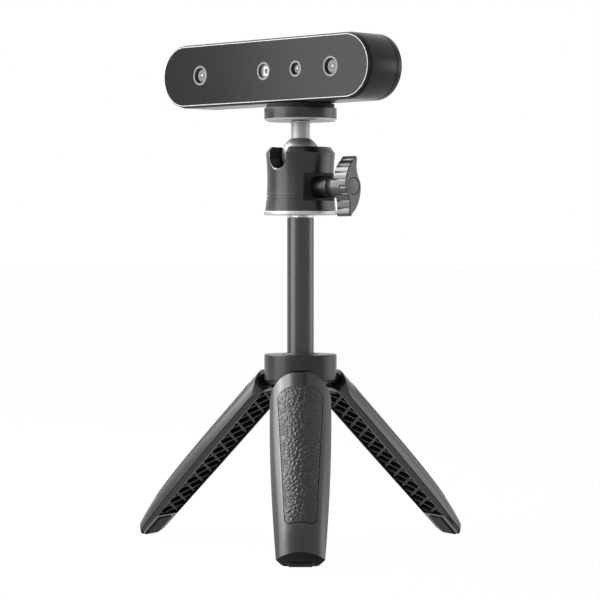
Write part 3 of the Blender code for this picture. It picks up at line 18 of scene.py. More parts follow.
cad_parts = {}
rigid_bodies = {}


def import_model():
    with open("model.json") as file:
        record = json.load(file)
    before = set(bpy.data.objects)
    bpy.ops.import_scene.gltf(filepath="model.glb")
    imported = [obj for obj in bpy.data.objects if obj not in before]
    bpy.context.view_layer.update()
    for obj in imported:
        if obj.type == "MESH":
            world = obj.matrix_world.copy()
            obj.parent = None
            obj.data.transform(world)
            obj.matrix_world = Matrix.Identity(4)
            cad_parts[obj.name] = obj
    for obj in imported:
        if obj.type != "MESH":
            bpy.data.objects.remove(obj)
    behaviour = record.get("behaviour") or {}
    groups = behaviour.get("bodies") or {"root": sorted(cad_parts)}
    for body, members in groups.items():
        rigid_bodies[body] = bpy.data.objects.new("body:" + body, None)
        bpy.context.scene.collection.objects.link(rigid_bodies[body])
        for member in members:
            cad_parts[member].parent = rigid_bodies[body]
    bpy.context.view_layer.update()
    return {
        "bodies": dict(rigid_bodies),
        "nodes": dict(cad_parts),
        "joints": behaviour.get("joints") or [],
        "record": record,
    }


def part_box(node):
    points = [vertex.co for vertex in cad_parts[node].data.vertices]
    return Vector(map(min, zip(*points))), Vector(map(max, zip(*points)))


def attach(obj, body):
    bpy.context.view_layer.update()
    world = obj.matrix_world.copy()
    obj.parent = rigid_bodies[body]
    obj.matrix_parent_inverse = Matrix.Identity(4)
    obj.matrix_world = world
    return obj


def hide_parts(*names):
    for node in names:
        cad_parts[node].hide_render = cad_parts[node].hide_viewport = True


LOG = logging.getLogger("scanner_scene")

MM = 0.001
DEG = math.pi / 180.0
GAP = 0.3 * MM
OVERRUN = 2.0 * MM
WHITE = (1.0, 1.0, 1.0, 1.0)
COAT_ROUGHNESS = 0.12

Flat = tuple[float, float]
Outline = list[Flat]
Ring = list[tuple[float, float, float]]
Colour = tuple[float, float, float]
Piece = bpy.types.Object


class Steps(int, Enum):
    """How many facets go round a turned piece."""

    SMALL = 24
    MEDIUM = 64
    LARGE = 128


# Mesh making


def new_object(name: str, data: bpy.types.ID) -> Piece:
    """Puts an object with the given mesh, lamp or camera data in the scene."""
    made = bpy.data.objects.new(name, data)
    bpy.context.scene.collection.objects.link(made)
    return made


def to_piece(name: str, bm: bmesh.types.BMesh) -> Piece:
    """Turns a bmesh into an object in the scene.

    Args:
        name: Name of the new object and its mesh.
        bm: The mesh, which is freed here.

    Returns:
        The new object, with its faces turned outward.
    """
    bmesh.ops.recalc_face_normals(bm, faces=bm.faces)
    mesh = bpy.data.meshes.new(name)
    bm.to_mesh(mesh)
    bm.free()
    return new_object(name, mesh)


def revolve(name: str, profile: Outline, steps: int = Steps.LARGE) -> Piece:
    """Turns a closed profile round the Z axis.

    Args:
        name: Name of the new object.
        profile: Radius and height of each corner; a radius of zero is a pole.
        steps: Facets round the axis.

    Returns:
        The turned solid.
    """
    bm = bmesh.new()
    rings = []
    for radius, height in profile:
        if radius == 0:
            rings.append([bm.verts.new((0, 0, height))])
            continue
        turns = [2 * math.pi * index / steps for index in range(steps)]
        ring = [(radius * math.cos(turn), radius * math.sin(turn), height) for turn in turns]
        rings.append([bm.verts.new(point) for point in ring])
    pairs = list(zip(rings, rings[1:]))
    if all(len(ring) > 1 for ring in rings):
        pairs.append((rings[-1], rings[0]))
    for lower, upper in pairs:
        for index in range(steps):
            after = (index + 1) % steps
            corners = [lower[index % len(lower)], lower[after % len(lower)]]
            corners += [upper[after % len(upper)], upper[index % len(upper)]]
            unique = list(dict.fromkeys(corners))
            if len(unique) > 2:
                bm.faces.new(unique)
    return to_piece(name, bm)


def loft(name: str, rings: Sequence[Ring]) -> Piece:
    """Skins closed rings of equally many points and caps both ends.

    Args:
        name: Name of the new object.
        rings: The sections, in order.

    Returns:
        The lofted solid.
    """
    bm = bmesh.new()
    made = [[bm.verts.new(point) for point in ring] for ring in rings]
    for lower, upper in zip(made, made[1:]):
        for index in range(len(lower)):
            after = (index + 1) % len(lower)
            bm.faces.new((lower[index], lower[after], upper[after], upper[index]))
    bm.faces.new(made[0])
    bm.faces.new(made[-1])
    return to_piece(name, bm)


def prism(name: str, outline: Outline, low: float, high: float) -> Piece:
    """Extrudes an outline in X and Y along Z, from low to high."""
    return loft(name, [[(x, y, z) for x, y in outline] for z in (low, high)])


def box(name: str, low: Sequence[float], high: Sequence[float]) -> Piece:
    """A block between two corners, used as a cutter or as the start of a piece."""
    outline = [(low[0], low[1]), (high[0], low[1]), (high[0], high[1]), (low[0], high[1])]
    return prism(name, outline, low[2], high[2])


def cylinder(name: str, radius: float, low: float, high: float, steps: int = Steps.MEDIUM) -> Piece:
    """A plain round bar along Z, used as a cutter or as the start of a piece."""
    return revolve(name, [(0, low), (radius, low), (radius, high), (0, high)], steps)


def arc(centre: Flat, radius: float, start: float, end: float, steps: int) -> Outline:
    """Points along a circular arc.

    Args:
        centre: Middle of the circle.
        radius: Its radius.
        start: First angle.
        end: Last angle.
        steps: Number of chords.

    Returns:
        The points, both ends included.
    """
    points = []
    for index in range(steps + 1):
        angle = start + (end - start) * index / steps
        points.append((centre[0] + radius * math.cos(angle), centre[1] + radius * math.sin(angle)))
    return points


def stadium(length: float, height: float, inset: float = 0.0, steps: int = 40) -> Outline:
    """A slot-shaped outline, made smaller all round by the inset."""
    radius = height / 2 - inset
    centre = length / 2 - height / 2
    right = arc((centre, 0), radius, -math.pi / 2, math.pi / 2, steps)
    left = arc((-centre, 0), radius, math.pi / 2, 3 * math.pi / 2, steps)
    return right + left


def rounded_rectangle(width: float, height: float, radius: float, steps: int = 6) -> Outline:
    """A rectangle round the origin with round corners."""
    points: Outline = []
    for quarter, (sx, sy) in enumerate(((1, -1), (1, 1), (-1, 1), (-1, -1))):
        centre = (sx * (width / 2 - radius), sy * (height / 2 - radius))
        start = (quarter - 1) * math.pi / 2
        points += arc(centre, radius, start, start + math.pi / 2, steps)
    return points


def round_corners(profile: Outline, corners: dict[int, float], steps: int = 4) -> Outline:
    """Rounds chosen corners of a profile.

    Args:
        profile: The corners, in order.
        corners: Radius by index, for the corners to round.
        steps: Chords in each round.

    Returns:
        The profile with those corners replaced by arcs.
    """
    made: Outline = []
    count = len(profile)
    for index, here in enumerate(profile):
        if index not in corners:
            made.append(here)
            continue
        point = Vector(here)
        before = (Vector(profile[index - 1]) - point).normalized()
        after = (Vector(profile[(index + 1) % count]) - point).normalized()
        half = before.angle(after) / 2
        reach = corners[index] / math.tan(half)
        start, end = point + before * reach, point + after * reach
        for step in range(steps + 1):
            share = step / steps
            curve = start * (1 - share) ** 2 + point * 2 * share * (1 - share) + end * share ** 2
            made.append((curve.x, curve.y))
    return made


def move(piece: Piece, matrix: Matrix) -> Piece:
    """Moves a piece's mesh and leaves its origin where it is."""
    piece.data.transform(matrix)
    if matrix.determinant() < 0:
        piece.data.flip_normals()
    return piece


def bake(piece: Piece) -> Piece:
    """Turns the piece's modifiers into its mesh."""
    graph = bpy.context.evaluated_depsgraph_get()
    graph.update()
    piece.data = bpy.data.meshes.new_from_object(piece.evaluated_get(graph))
    piece.modifiers.clear()
    return piece


class Operation(str, Enum):
    """The ways of working one solid against another."""

    CUT = "DIFFERENCE"
    JOIN = "UNION"
    KEEP = "INTERSECT"


def combine(piece: Piece, operation: Operation, *others: Piece) -> Piece:
    """Works a piece against each of the others, which are used up.

    Args:
        piece: The solid that is kept.
        operation: Cut, join or keep what both have.
        others: The solids to work against.

    Returns:
        The piece.
    """
    for other in others:
        step = piece.modifiers.new(operation.name.lower(), "BOOLEAN")
        step.operation = operation.value
        step.solver = "EXACT"
        step.object = other
        bake(piece)
        bpy.data.objects.remove(other, do_unlink=True)
    return piece


def cut(piece: Piece, *others: Piece) -> Piece:
    """Cuts the others out of the piece."""
    return combine(piece, Operation.CUT, *others)


def join(piece: Piece, *others: Piece) -> Piece:
    """Joins the others to the piece."""
    return combine(piece, Operation.JOIN, *others)


def keep(piece: Piece, *others: Piece) -> Piece:
    """Keeps what the piece shares with each of the others."""
    return combine(piece, Operation.KEEP, *others)


def copy_of(name: str, piece: Piece) -> Piece:
    """A repeat of a piece, with a mesh of its own."""
    return new_object(name, piece.data.copy())


def around(azimuth: float) -> Matrix:
    """A turn about the Z axis."""
    return Matrix.Rotation(azimuth, 4, "Z")


def spread(start: float, end: float, count: int) -> list[float]:
    """Evenly spaced values, both ends included."""
    return [start + (end - start) * index / (count - 1) for index in range(count)]


# Shader groups


def set_inputs(node: bpy.types.Node, values: dict[str | int, object]) -> None:
    """Sets a node's inputs, by label or number, to plain values."""
    for label, value in values.items():
        node.inputs[label].default_value = value


class Socket(str, Enum):
    """The kinds of socket that a shader group has."""

    NUMBER = "NodeSocketFloat"
    COLOUR = "NodeSocketColor"


class ShaderGroup:
    """A shader node group with named inputs and outputs, built once and shared."""

    def __init__(self, name: str, inputs: dict[str, float | Colour], outputs: dict[str, Socket]) -> None:
        """Makes the empty group.

        Args:
            name: Name of the group.
            inputs: Default value by input name; a triple is a colour.
            outputs: Kind by output name.
        """
        self.tree = bpy.data.node_groups.new(name, "ShaderNodeTree")
        for label, value in inputs.items():
            kind = Socket.COLOUR if isinstance(value, tuple) else Socket.NUMBER
            made = self.tree.interface.new_socket(label, in_out="INPUT", socket_type=kind.value)
            made.default_value = (*value, 1.0) if isinstance(value, tuple) else value
        for label, kind in outputs.items():
            self.tree.interface.new_socket(label, in_out="OUTPUT", socket_type=kind.value)
        self.entry = self.tree.nodes.new("NodeGroupInput")
        self.exit = self.tree.nodes.new("NodeGroupOutput")

    def node(self, kind: str, **values: object) -> bpy.types.Node:
        """Adds a node and sets its properties."""
        made = self.tree.nodes.new(kind)
        for label, value in values.items():
            setattr(made, label, value)
        return made

    def link(self, source: object, target: bpy.types.NodeSocket) -> None:
        """Links a socket to an input, or sets the input to a plain value."""
        if isinstance(source, bpy.types.NodeSocket):
            self.tree.links.new(source, target)
        else:
            target.default_value = source

    def math(self, operation: str, first: object, second: object = 0.0) -> bpy.types.NodeSocket:
        """A Math node on two values or sockets.

        Args:
            operation: The Math node's operation.
            first: A number or a socket.
            second: A number or a socket.

        Returns:
            The node's output.
        """
        made = self.node("ShaderNodeMath", operation=operation)
        self.link(first, made.inputs[0])
        self.link(second, made.inputs[1])
        return made.outputs[0]

    def noise(
        self, scale: object, detail: float, coordinates: bpy.types.NodeSocket, output: str = "Fac",
    ) -> bpy.types.NodeSocket:
        """A noise texture on given coordinates.

        Args:
            scale: A number or a socket.
            detail: Octaves of noise.
            coordinates: Where the noise is read.
            output: "Fac" for one value, "Color" for three.

        Returns:
            The texture's output.
        """
        made = self.node("ShaderNodeTexNoise")
        for label, value in (("Scale", scale), ("Detail", detail), ("Vector", coordinates)):
            self.link(value, made.inputs[label])
        return made.outputs[output]

    def place(self) -> bpy.types.NodeSocket:
        """The point on the piece, in its own coordinates and in metres."""
        return self.node("ShaderNodeTexCoord").outputs["Object"]


class Textures:
    """The shader groups that the materials share."""

    # Pointiness at which an edge begins to take the lighter colour of wear and painted highlight, and at
    # which it is fully so
    RUBBED_FROM = 0.53
    RUBBED_TO = 0.62
    RUBBED_PATCH = 260.0
    # Leather: scale of the swirl that bends its cells, width of a crease, and the fine grain on top
    SWIRL = 420.0
    CREASE = 0.34
    PORES = 3200.0
    PORES_SHARE = 0.18
    # How far the brushed lines are drawn out along X
    BRUSHED_STRETCH = (0.03, 1.0, 1.0)

    def __init__(self) -> None:
        """Builds every group once."""
        self.drift = self._drift()
        self.grain = self._grain()
        self.wear = self._wear()
        self.leather = self._leather()
        self.turned = self._turned()
        self.brushed = self._brushed()

    @staticmethod
    def _drift() -> ShaderGroup:
        """Slow change of shade and gloss over a surface, from handling and dust."""
        inputs = {
            "Colour": (0.5, 0.5, 0.5), "Gloss": 0.4, "Patch": 60.0, "Shade Change": 0.2, "Gloss Change": 0.05,
        }
        outputs = {"Colour": Socket.COLOUR, "Roughness": Socket.NUMBER}
        group = ShaderGroup("surface_drift", inputs, outputs)
        entry = group.entry.outputs
        wide = group.noise(entry["Patch"], 4.0, group.place())
        centred = group.math("SUBTRACT", wide, 0.5)
        gain = group.math("ADD", group.math("MULTIPLY", centred, entry["Shade Change"]), 1.0)
        scale = group.node("ShaderNodeVectorMath", operation="SCALE")
        group.link(entry["Colour"], scale.inputs[0])
        group.link(gain, scale.inputs["Scale"])
        group.link(scale.outputs[0], group.exit.inputs["Colour"])
        change = group.math("MULTIPLY", centred, entry["Gloss Change"])
        rough = group.math("ADD", change, entry["Gloss"])
        group.link(rough, group.exit.inputs["Roughness"])
        return group

    @staticmethod
    def _grain() -> ShaderGroup:
        """The fine even grain of a moulded or blasted surface."""
        group = ShaderGroup("fine_grain", {"Scale": 2500.0}, {"Height": Socket.NUMBER})
        fine = group.noise(group.entry.outputs["Scale"], 2.0, group.place())
        group.link(fine, group.exit.inputs["Height"])
        return group

    @classmethod
    def _wear(cls) -> ShaderGroup:
        """A lighter colour along sharp edges: partly wear where hands have rubbed, partly a painted
        highlight.
        """
        inputs = {"Colour": (0.02, 0.02, 0.02), "Rubbed": (0.1, 0.1, 0.1), "Amount": 0.5}
        group = ShaderGroup("edge_wear", inputs, {"Colour": Socket.COLOUR})
        entry = group.entry.outputs
        # Sharp edges get a lighter colour, which is partly wear and partly a painted highlight in place of
        # light on rounded edges
        edge = group.node("ShaderNodeMapRange")
        set_inputs(edge, {"From Min": cls.RUBBED_FROM, "From Max": cls.RUBBED_TO})
        group.link(group.node("ShaderNodeNewGeometry").outputs["Pointiness"], edge.inputs["Value"])
        uneven = group.noise(cls.RUBBED_PATCH, 3.0, group.place())
        patch = group.math("MULTIPLY", edge.outputs[0], uneven)
        mask = group.math("MULTIPLY", patch, entry["Amount"])
        mix = group.node("ShaderNodeMix", data_type="RGBA")
        group.link(mask, mix.inputs["Factor"])
        group.link(entry["Colour"], mix.inputs["A"])
        group.link(entry["Rubbed"], mix.inputs["B"])
        group.link(mix.outputs["Result"], group.exit.inputs["Colour"])
        return group

    @classmethod
    def _leather(cls) -> ShaderGroup:
        """Pebbled leather grain: uneven cells with creases between them."""
        inputs = {"Scale": 800.0, "Bend": 0.0005}
        group = ShaderGroup("leather_grain", inputs, {"Height": Socket.NUMBER})
        entry = group.entry.outputs
        place = group.place()
        bend = group.node("ShaderNodeVectorMath", operation="SCALE")
        group.link(group.noise(cls.SWIRL, 2.0, place, "Color"), bend.inputs[0])
        group.link(entry["Bend"], bend.inputs["Scale"])
        bent = group.node("ShaderNodeVectorMath", operation="ADD")
        group.link(place, bent.inputs[0])
        group.link(bend.outputs[0], bent.inputs[1])
        cells = group.node("ShaderNodeTexVoronoi", feature="DISTANCE_TO_EDGE")
        set_inputs(cells, {"Randomness": 1.0})
        group.link(bent.outputs[0], cells.inputs["Vector"])
        group.link(entry["Scale"], cells.inputs["Scale"])
        pebble = group.node("ShaderNodeMapRange", interpolation_type="SMOOTHSTEP")
        set_inputs(pebble, {"From Max": cls.CREASE})
        group.link(cells.outputs["Distance"], pebble.inputs["Value"])
        fine = group.math("MULTIPLY", group.noise(cls.PORES, 2.0, place), cls.PORES_SHARE)
        group.link(group.math("ADD", pebble.outputs[0], fine), group.exit.inputs["Height"])
        return group

    @staticmethod
    def _turned() -> ShaderGroup:
        """Fine rings left by the lathe, round the piece's own Z axis."""
        group = ShaderGroup("turned_rings", {"Pitch": 9000.0}, {"Height": Socket.NUMBER})
        split = group.node("ShaderNodeSeparateXYZ")
        group.link(group.place(), split.inputs[0])
        across = group.math("POWER", split.outputs["X"], 2.0)
        along = group.math("POWER", split.outputs["Y"], 2.0)
        radius = group.math("SQRT", group.math("ADD", across, along))
        point = group.node("ShaderNodeCombineXYZ")
        group.link(radius, point.inputs["X"])
        group.link(split.outputs["Z"], point.inputs["Z"])
        rings = group.noise(group.entry.outputs["Pitch"], 1.0, point.outputs[0])
        group.link(rings, group.exit.inputs["Height"])
        return group

    @classmethod
    def _brushed(cls) -> ShaderGroup:
        """Fine straight lines along the piece's own X axis."""
        group = ShaderGroup("brushed_lines", {"Pitch": 6000.0}, {"Height": Socket.NUMBER})
        squeeze = group.node("ShaderNodeVectorMath", operation="MULTIPLY")
        set_inputs(squeeze, {1: cls.BRUSHED_STRETCH})
        group.link(group.place(), squeeze.inputs[0])
        lines = group.noise(group.entry.outputs["Pitch"], 2.0, squeeze.outputs[0])
        group.link(lines, group.exit.inputs["Height"])
        return group


class Surface(Enum):
    """Which shared group gives a finish its relief."""

    GRAIN = "grain"
    LEATHER = "leather"
    TURNED = "turned"
    BRUSHED = "brushed"


@dataclass(frozen=True)
class Finish:
    """One surface finish: its colour, gloss, relief, lighter edges (partly wear, partly painted highlight)
    and how much it changes over a piece.
    """

    name: str
    colour: Colour
    roughness: float
    metallic: float = 0.0
    specular: float = 0.5
    coat: float = 0.0
    surface: Surface = Surface.GRAIN
    relief: float = 0.15
    depth: float = 0.00003
    pitch: float = 2500.0
    shade_change: float = 0.25
    gloss_change: float = 0.08
    # Colour and amount of the lighter sharp edges, partly wear and partly a painted highlight
    rubbed: Colour = (0.08, 0.08, 0.082)
    wear: float = 0.35

    def build(self, textures: Textures) -> bpy.types.Material:
        """Builds the material.

        Args:
            textures: The shared shader groups.

        Returns:
            The material, with its groups linked.
        """
        material = bpy.data.materials.new(self.name)
        material.use_nodes = True
        tree = material.node_tree
        shader = tree.nodes["Principled BSDF"]
        set_inputs(shader, {
            "Metallic": self.metallic, "Specular IOR Level": self.specular,
            "Coat Weight": self.coat, "Coat Roughness": COAT_ROUGHNESS,
        })
        drift = self._group(tree, textures.drift, {
            "Colour": (*self.colour, 1.0), "Gloss": self.roughness,
            "Shade Change": self.shade_change, "Gloss Change": self.gloss_change,
        })
        wear = self._group(tree, textures.wear, {"Rubbed": (*self.rubbed, 1.0), "Amount": self.wear})
        relief = self._group(tree, getattr(textures, self.surface.value), {0: self.pitch})
        bump = tree.nodes.new("ShaderNodeBump")
        set_inputs(bump, {"Strength": self.relief, "Distance": self.depth})
        for source, target in (
            (drift.outputs["Roughness"], shader.inputs["Roughness"]),
            (drift.outputs["Colour"], wear.inputs["Colour"]),
            (wear.outputs["Colour"], shader.inputs["Base Color"]),
            (relief.outputs["Height"], bump.inputs["Height"]),
            (bump.outputs["Normal"], shader.inputs["Normal"]),
        ):
            tree.links.new(source, target)
        return material

    @staticmethod
    def _group(
        tree: bpy.types.NodeTree, group: ShaderGroup, values: dict[str | int, object],
    ) -> bpy.types.Node:
        """Places a shared group in a material and sets its inputs."""
        made = tree.nodes.new("ShaderNodeGroup")
        made.node_tree = group.tree
        set_inputs(made, values)
        return made


SCANNER_SHELL = Finish("scanner_shell", (0.006, 0.006, 0.007), 0.24, specular=0.28, pitch=5200.0, relief=0.06)
WINDOW = Finish(
    "window_glass", (0.005, 0.005, 0.006), 0.17, specular=0.22, relief=0.02, wear=0.0, gloss_change=0.03,
)
BRIGHT_EDGE = Finish(
    "bright_edge", (0.55, 0.55, 0.56), 0.50, metallic=0.25, surface=Surface.BRUSHED, pitch=3000.0, wear=0.0,
)
RING_GREY = Finish("ring_grey", (0.20, 0.20, 0.204), 0.45, wear=0.0)
RING_DARK = Finish("ring_dark", (0.13, 0.13, 0.134), 0.40, wear=0.0)
LENS_GLASS = Finish("lens_glass", (0.012, 0.012, 0.016), 0.05, specular=0.9, coat=0.8, relief=0.0, wear=0.0)
LENS_SEAT = Finish("lens_seat", (0.055, 0.055, 0.057), 0.5, wear=0.0)
# A near-white finish that paints the highlight dot on each lens
LENS_PAINTED_GLINT = Finish("lens_spark", (0.90, 0.90, 0.92), 0.25, specular=0.6, relief=0.0, wear=0.0)
PROJECTOR_GLASS = Finish("projector_glass", (0.60, 0.61, 0.62), 0.30, specular=0.7, relief=0.02, wear=0.0)
HEAD_BLACK = Finish("head_black", (0.005, 0.005, 0.006), 0.28, specular=0.46, pitch=4200.0, relief=0.08)
HEAD_RECESS = Finish("head_recess", (0.017, 0.017, 0.018), 0.60, specular=0.25, pitch=4200.0, relief=0.08)
HUB_BLACK = Finish("hub_black", (0.005, 0.005, 0.006), 0.30, specular=0.36, pitch=4200.0, relief=0.10)
COLUMN_BLACK = Finish("column_black", (0.005, 0.005, 0.006), 0.22, specular=0.62, relief=0.05, wear=0.15)
CUT_EDGE = Finish(
    "cut_edge", (0.50, 0.50, 0.51), 0.40, metallic=1.0, surface=Surface.TURNED, relief=0.06, wear=0.0,
)
BRIGHT_RING = Finish(
    "bright_ring", (0.40, 0.40, 0.41), 0.46, metallic=1.0, surface=Surface.TURNED, relief=0.02, wear=0.0,
    shade_change=0.05, gloss_change=0.02,
)
BALL_STEEL = Finish(
    "polished_steel", (0.30, 0.30, 0.31), 0.48, metallic=0.8, surface=Surface.TURNED, relief=0.05, wear=0.0,
)
STEEL = Finish("steel", (0.55, 0.55, 0.56), 0.3, metallic=1.0, surface=Surface.TURNED, wear=0.0)
BRASS = Finish("brass", (0.6, 0.43, 0.18), 0.3, metallic=1.0, surface=Surface.TURNED, wear=0.0)
KNOB_BLACK = Finish("knob_plastic", (0.016, 0.016, 0.017), 0.32, specular=0.7, pitch=3600.0, relief=0.10)
KNOB_SIDE = Finish(
    "knob_side", (0.10, 0.10, 0.102), 0.30, metallic=1.0, relief=0.05, shade_change=0.1, gloss_change=0.03,
    wear=0.0,
)
LEG_BLACK = Finish("leg_plastic", (0.004, 0.004, 0.005), 0.27, specular=0.52, pitch=3400.0, relief=0.03)
LEG_INSIDE = Finish("leg_inside", (0.006, 0.006, 0.007), 0.48, specular=0.12, pitch=3400.0, relief=0.12)
LEATHER = Finish(
    "grip_grain", (0.006, 0.006, 0.007), 0.36, specular=0.40, surface=Surface.LEATHER, pitch=480.0,
    relief=1.0, depth=0.00020, wear=0.0,
)
RUBBER = Finish(
    "rubber_black", (0.008, 0.008, 0.008), 0.62, specular=0.15, pitch=2200.0, relief=0.3, wear=0.15,
)
CUP_PLASTIC = Finish("cup_plastic", (0.78, 0.78, 0.74), 0.45, wear=0.0)
BENCH_METAL = Finish("bench_metal", (0.70, 0.70, 0.71), 0.35, metallic=1.0, surface=Surface.BRUSHED, wear=0.0)
BOARD_GREEN = Finish("board_green", (0.012, 0.10, 0.04), 0.35, wear=0.0)
PAD_GREY = Finish("pad_grey", (0.34, 0.38, 0.46), 0.7, wear=0.0)


class Workshop:
    """Dresses finished pieces: material, shading, edge rounding, body and replaced nodes."""

    def __init__(self, frame: dict) -> None:
        """Keeps the frame and builds the shared shader groups.
        """
        self.frame = frame
        self.textures = Textures()
        self.materials: dict[str, bpy.types.Material] = {}
        low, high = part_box("base_ring")
        self.axis = Vector(((low[0] + high[0]) / 2, (low[1] + high[1]) / 2, 0))

    def material(self, finish: Finish) -> bpy.types.Material:
        """The material of a finish, built when it is first asked for."""
        if finish.name not in self.materials:
            self.materials[finish.name] = finish.build(self.textures)
        return self.materials[finish.name]

    def joint_place(self, name: str) -> Vector:
        """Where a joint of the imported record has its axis.

        Args:
            name: Name of the joint.

        Returns:
            The joint's point, in metres.
        """
        joints = self.frame["record"]["behaviour"]["joints"]
        found = next(joint for joint in joints if joint["name"] == name)
        return Vector(found["pos_m"])

    def on_column(self, height: float = 0.0) -> Matrix:
        """The column's axis, at a height."""
        return Matrix.Translation(self.axis + Vector((0, 0, height)))

    def dress(
        self, piece: Piece, body: str, finish: Finish, nodes: Sequence[str] = (), place: Matrix | None = None,
        edge: float = 0.0, smooth: float = 32.0, slot: str | None = None,
    ) -> Piece:
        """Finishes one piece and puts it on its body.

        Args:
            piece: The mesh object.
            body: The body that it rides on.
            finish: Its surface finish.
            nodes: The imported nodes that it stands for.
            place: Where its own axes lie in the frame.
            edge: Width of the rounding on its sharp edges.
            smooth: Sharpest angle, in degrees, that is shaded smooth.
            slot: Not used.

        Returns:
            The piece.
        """
        piece.data.materials.clear()
        piece.data.materials.append(self.material(finish))
        piece.data.shade_smooth()
        piece.data.set_sharp_from_angle(angle=smooth * DEG)
        if edge:
            rounding = piece.modifiers.new("edge_rounding", "BEVEL")
            rounding.width = edge
            rounding.segments = 2
            rounding.limit_method = "ANGLE"
            rounding.angle_limit = smooth * DEG
            rounding.use_clamp_overlap = False
            rounding.harden_normals = True
        if place is not None:
            piece.matrix_world = place
        bpy.context.view_layer.update()
        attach(piece, body)
        if nodes:
            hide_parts(*nodes)
        LOG.info("%s rides on %s with %d faces", piece.name, body, len(piece.data.polygons))
        return piece

    def carry_over(self, finish: Finish, *nodes: str) -> None:
        """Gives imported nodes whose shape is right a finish.

        Args:
            finish: The finish.
            nodes: Names of the nodes.
        """
        for name in nodes:
            node = self.frame["nodes"][name]
            for slot in node.material_slots:
                slot.material = self.material(finish)
            LOG.info("%s keeps its packed shape", name)


def add_material(
    piece: Piece, material: bpy.types.Material, chosen: Callable[[bpy.types.MeshPolygon], bool],
) -> None:
    """Gives chosen faces of a piece a second material.

    Args:
        piece: The piece.
        material: The second material.
        chosen: Says which faces take it.
    """
    piece.data.materials.append(material)
    index = len(piece.data.materials) - 1
    for face in piece.data.polygons:
        if chosen(face):
            face.material_index = index


# Tripod


class Side(Enum):
    """The three legs, with the azimuth that each points to."""

    FRONT = -90.0
    LEFT = 150.0
    RIGHT = 30.0

    @property
    def label(self) -> str:
        """The name that the leg's nodes end in."""
        return self.name.lower()

    @property
    def azimuth(self) -> float:
        """The leg's direction from the column, in radians."""
        return self.value * DEG


